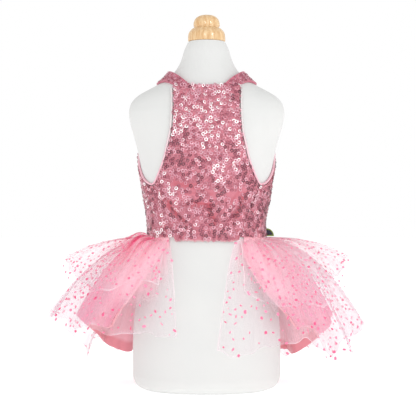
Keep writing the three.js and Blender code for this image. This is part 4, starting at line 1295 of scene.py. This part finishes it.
class TUTU_OT_form(bpy.types.Operator):
    """The smooth limbless form and its turned wooden neck cap"""

    bl_idname = "tutu.form"
    bl_label = "Dress Form and Cap"

    def execute(self, context):
        colours = context.scene.tutu_colours
        heights = np.concatenate([np.linspace(0, 16, 14), np.linspace(16, 290, 90)[1:],
                                  np.linspace(290, NECK_TOP, 60)[1:]])
        angles = np.linspace(0, 360, 128, endpoint=False)
        self.turned("dress_form_skin", form_point(angles[None, :], heights[:, None]),
                    moulded_form(colours), "form", "dress_form")
        steps = np.linspace(0, 17, 120)[:-1]
        radius = read(CAP_PROFILE, "step", "radius", steps)
        z = read(CAP_PROFILE, "step", "height", steps) + NECK_TOP + CAP_GAP
        turns = np.linspace(0, 2 * math.pi, 64, endpoint=False)
        rings = np.stack(np.broadcast_arrays(
            -radius[:, None] * np.sin(turns), -radius[:, None] * np.cos(turns), z[:, None]), -1)
        self.turned("neck_cap_turning", rings, varnished_beech(), "cap", "neck_cap")
        return {"FINISHED"}

    def turned(self, name, rings, material, slot, cad_node):
        """A closed body from rings of points, from its foot to its top."""
        rows, sides = rings.shape[:2]
        foot, top = rows * sides, rows * sides + 1
        ends = [(0, 0, rings[0, 0, 2]), (0, 0, rings[-1, 0, 2])]
        faces = []
        for i in range(rows - 1):
            for j in range(sides):
                k = (j + 1) % sides
                faces.append((i * sides + j, (i + 1) * sides + j, (i + 1) * sides + k, i * sides + k))
        last = (rows - 1) * sides
        for j in range(sides):
            k = (j + 1) % sides
            faces.append((foot, j, k))
            faces.append((top, last + k, last + j))
        made = new_mesh(name, np.concatenate([rings.reshape(-1, 3), ends]), faces)
        made.data.set_sharp_from_angle(angle=math.radians(50))
        finish(made, material, slot, cad_node)


class TUTU_OT_bodice(bpy.types.Operator):
    """The sequinned chest and back panels, the straps and the armhole bindings"""

    bl_idname = "tutu.bodice"
    bl_label = "Bodice"

    def execute(self, context):
        sizes, colours = context.scene.tutu_sizes, context.scene.tutu_colours
        ground = stretch_mesh("dusty rose stretch mesh", colours.cloth, rgb("BE5F70"))
        film = sequin_film(colours)
        ring = sequin_ring(sizes.sequin_width)
        sewn = {"Spacing": sizes.sequin_spacing, "Most_Per_Square_Metre": 400000.0,
                "Smallest": (0.92, 0.92, 1.0), "Largest": (1.04, 1.04, 1.0),
                "Tip": sizes.sequin_tip, "Stand_Off": 0.0005, "Variety": 1.0}

        outer, x, z = chest_surface(BODICE_WALL)
        inner = chest_surface(0)[0]
        trim = np.clip((TRIM_TOP - z) / 0.6, 0, 1)
        # Painted highlight and shade for the sequins, and painted shade for the cloth's crease troughs
        marks = {"glint": sequin_painted_light(x, z), "cover": sequin_cover(x, z), "trim": trim,
                 "crease_shade": 0.8 * valley_depth(x, z)}
        chest = self.panel("chest_cloth", inner, outer, marks, ground, "chest_panel")
        front = self.outside("chest_outside", outer, marks)
        sequins = scatter("chest_sequins", front, ring, film, "sequin_cloth", Seed=3, **sewn)
        bpy.data.objects.remove(front)

        outer, line, z = back_surface(BODICE_WALL)
        inner = back_surface(0)[0]
        # Painted highlight and shade in soft patches, and painted shade along a stretch near the +X
        # seam
        patches = 0.22 * np.sin(1.7 * line + 0.05 * z) * np.sin(0.09 * z + 0.8 * line)
        patches = patches - 0.3 * bell(line - 2 * BACK_MIDDLE, -3, 3)
        marks = {"glint": patches - 0.03, "cover": np.ones_like(z)}
        back = self.panel("back_cloth", inner, outer, marks, ground, "back_panel")
        middle = outer.shape[1] // 2
        for name, part, seed in (
            ("left", slice(0, middle + 1), 11),
            ("right", slice(middle, None), 12),
        ):
            part_marks = {mark: values[:, part] for mark, values in marks.items()}
            outside = self.outside("back_outside", outer[:, part], part_marks)
            scatter("back_sequins_" + name, outside, ring, film, "sequin_cloth",
                                  Seed=seed, **sewn)
            bpy.data.objects.remove(outside)

        rose = stretch_mesh("deep rose stretch mesh", rgb("C96C80"), rgb("AF5068"))
        small_rings = {"Spacing": 0.72 * sizes.sequin_spacing, "Smallest": (0.6, 0.6, 1.0),
                       "Largest": (0.72, 0.72, 1.0), "Tip": math.radians(14), "Variety": 0.6}
        for side, name in ((-1, "left"), (1, "right")):
            inner, outer = strap_surface(side)
            even = np.ones(outer.shape[:2])
            across = np.linspace(-1, 1, outer.shape[1])
            marks = {"glint": -0.06 * even, "cover": even * (np.abs(across) < 0.8)}
            strap = self.panel("strap_cloth_" + name, inner, outer, marks, rose, "strap_" + name,
                               "strap_cloth")
            outside = self.outside("strap_outside", outer, marks)
            rows = scatter("strap_sequins_" + name, outside, ring, film, "strap_cloth",
                           Seed=20 + side, **{**sewn, **small_rings})
            bpy.data.objects.remove(outside)

        pink = satin("light pink satin binding", rgb("F6CBD4"), rgb("E9A5B6"))
        for side, name in ((-1, "left"), (1, "right")):
            path, across, outwards = binding_path(side)
            band = folded_strip("binding_" + name, path, across, outwards, BINDING_WIDTH,
                                BINDING_THICKNESS, BINDING_FOLD_WALL)
            if side < 0:
                band.data.flip_normals()
            finish(band, pink, "binding", "armhole_binding_" + name)
        bpy.data.objects.remove(ring)
        return {"FINISHED"}

    def panel(self, name, inner, outer, marks, material, cad_node, slot="sequin_cloth"):
        made = cloth_wall(name, inner, outer, cloth_measure(outer), marks)
        return finish(made, material, slot, cad_node)

    def outside(self, name, outer, marks):
        """The panel's outer face alone, which the sequins are sewn to."""
        rows, columns = outer.shape[:2]
        return new_mesh(name, outer, grid_faces(rows, columns), None, marks)


class TUTU_OT_label(bpy.types.Operator):
    """The small blank woven label at the wearer's side"""

    bl_idname = "tutu.label"
    bl_label = "Side Label"

    def execute(self, context):
        low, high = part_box("side_label")
        low, high = np.array(low) / MM, np.array(high) / MM
        reach, height = high[0] - low[0], high[2] - low[2]
        radius, turn = np.meshgrid(np.linspace(0, 1, 15), np.radians(np.linspace(90, 0, 19)))
        x = low[0] + reach * radius * np.cos(turn)
        z = low[2] + height * radius * np.sin(turn)
        edge = np.minimum((1 - radius) * reach, z - low[2])
        lime = np.clip((LABEL_EDGE - edge) / 0.3, 0, 1)
        front, back = (np.stack(np.broadcast_arrays(x, y, z), -1) for y in (low[1], high[1]))
        uv = np.stack([x, z], -1)
        made = cloth_wall("side_label_weave", front, back, uv, {"edge": lime})
        merge_doubles(made)
        finish(made, woven_label(context.scene.tutu_colours), "label", "side_label")
        return {"FINISHED"}


class TUTU_OT_skirt(bpy.types.Operator):
    """The waist seam, the lining, the pink net and the two tiers of dotted net"""

    bl_idname = "tutu.skirt"
    bl_label = "Skirt"

    def execute(self, context):
        sizes, colours = context.scene.tutu_sizes, context.scene.tutu_colours
        salmon = satin("salmon satin lining", colours.lining, rgb("F2ACB9"))
        low, high = SEAM_HEIGHTS
        angle, z = np.meshgrid(np.linspace(SKIRT_ANGLES[0], 360 - SKIRT_ANGLES[0], 241),
                               np.linspace(high, low, 13))
        lies = form_point(angle, z)
        inner = seat(lies, np.full_like(z, SEAM_CLEARANCE))
        outer = seat(lies, SEAM_CLEARANCE + NET_WALL + 0.2 * np.sin(1.3 * angle))
        seam = cloth_wall("waist_seam_cloth", inner, outer, cloth_measure(outer))
        finish(seam, salmon, "lining", "waist_seam")

        middle = skirt_surface(SKIRT_LINES, 1, eased=LINING_HEM)
        normals = normals_of(middle)
        uv, marks = tier_marks(middle, 1)
        lining = cloth_wall("lining_cloth", middle - normals * 2.1, middle - normals * 1.1, uv, marks)
        finish(lining, salmon, "lining", "skirt_lining")

        # Each net's second colour is the deep pink of its gathers' folds: packed layers, deepened as
        # painted shade
        plain = net("pink nylon net", colours.pink_net, rgb("F03464"), 0.74, 0.14, 0.2)
        pink = net_sheet("pink_net", SKIRT_LINES, 1, 2, eased=LINING_HEM)
        finish(pink, plain, "pink_net", "skirt_pink_net")

        clear = net("clear nylon net", colours.clear_net, rgb("E23A6C"), 0.25, 0.03, 0.5)
        velvet = flock(colours)
        dot = net_dot(sizes.dot_width)
        glued = {"Tip": 0.0, "Stand_Off": 0.0, "Variety": 1.0, "Smallest": (0.35, 0.35, 0.8)}
        # The short tier lies on the long one, and its dots are smaller and lie closer
        for name, lines, eased, layer, folds, seed, largest, closer, flat, area in (
            ("long", LONG_TIER_LINES, LONG_HEM, 2, 2, 31, 1.35, 1, (1.1, 0.19), 0.125),
            ("short", SHORT_TIER_LINES, SHORT_HEM, 3, 1.35, 47, 1.1, 0.9, (0.9, 0.12), 0.062),
        ):
            tier = net_sheet("dotted_net_" + name, lines, layer, folds, ragged=0.018, eased=eased)
            dots = scatter("net_dots_" + name, tier, dot, velvet, "dotted_net", Seed=seed,
                           Spacing=closer * sizes.dot_spacing,
                           Most_Per_Square_Metre=30000.0 / closer ** 2,
                           Largest=(largest, 0.88 * largest, 1.2), **glued)
            finish(tier, clear, "dotted_net", "skirt_dotted_net_" + name)
        bpy.data.objects.remove(dot)
        return {"FINISHED"}


class TUTU_PT_panel(bpy.types.Panel):
    bl_label = "Dog Tutu Dress"
    bl_idname = "TUTU_PT_panel"
    bl_space_type = "VIEW_3D"
    bl_region_type = "UI"
    bl_category = "Tutu Dress"

    def draw(self, context):
        for operator in OPERATORS:
            self.layout.operator(operator.bl_idname)
        for group in (context.scene.tutu_sizes, context.scene.tutu_colours):
            for name in group.__annotations__:
                self.layout.prop(group, name)


OPERATORS = (TUTU_OT_stage, TUTU_OT_form, TUTU_OT_bodice, TUTU_OT_label, TUTU_OT_skirt)
CLASSES = (TutuDressSizes, TutuDressColours, *OPERATORS, TUTU_PT_panel)


def register():
    for each in CLASSES:
        bpy.utils.register_class(each)
    bpy.types.Scene.tutu_sizes = bpy.props.PointerProperty(type=TutuDressSizes)
    bpy.types.Scene.tutu_colours = bpy.props.PointerProperty(type=TutuDressColours)


def unregister():
    del bpy.types.Scene.tutu_sizes
    del bpy.types.Scene.tutu_colours
    for each in reversed(CLASSES):
        bpy.utils.unregister_class(each)


def main():
    register()
    bpy.ops.tutu.stage()
    bpy.ops.tutu.form()
    bpy.ops.tutu.bodice()
    bpy.ops.tutu.label()
    bpy.ops.tutu.skirt()


if __name__ == "__main__":
    main()
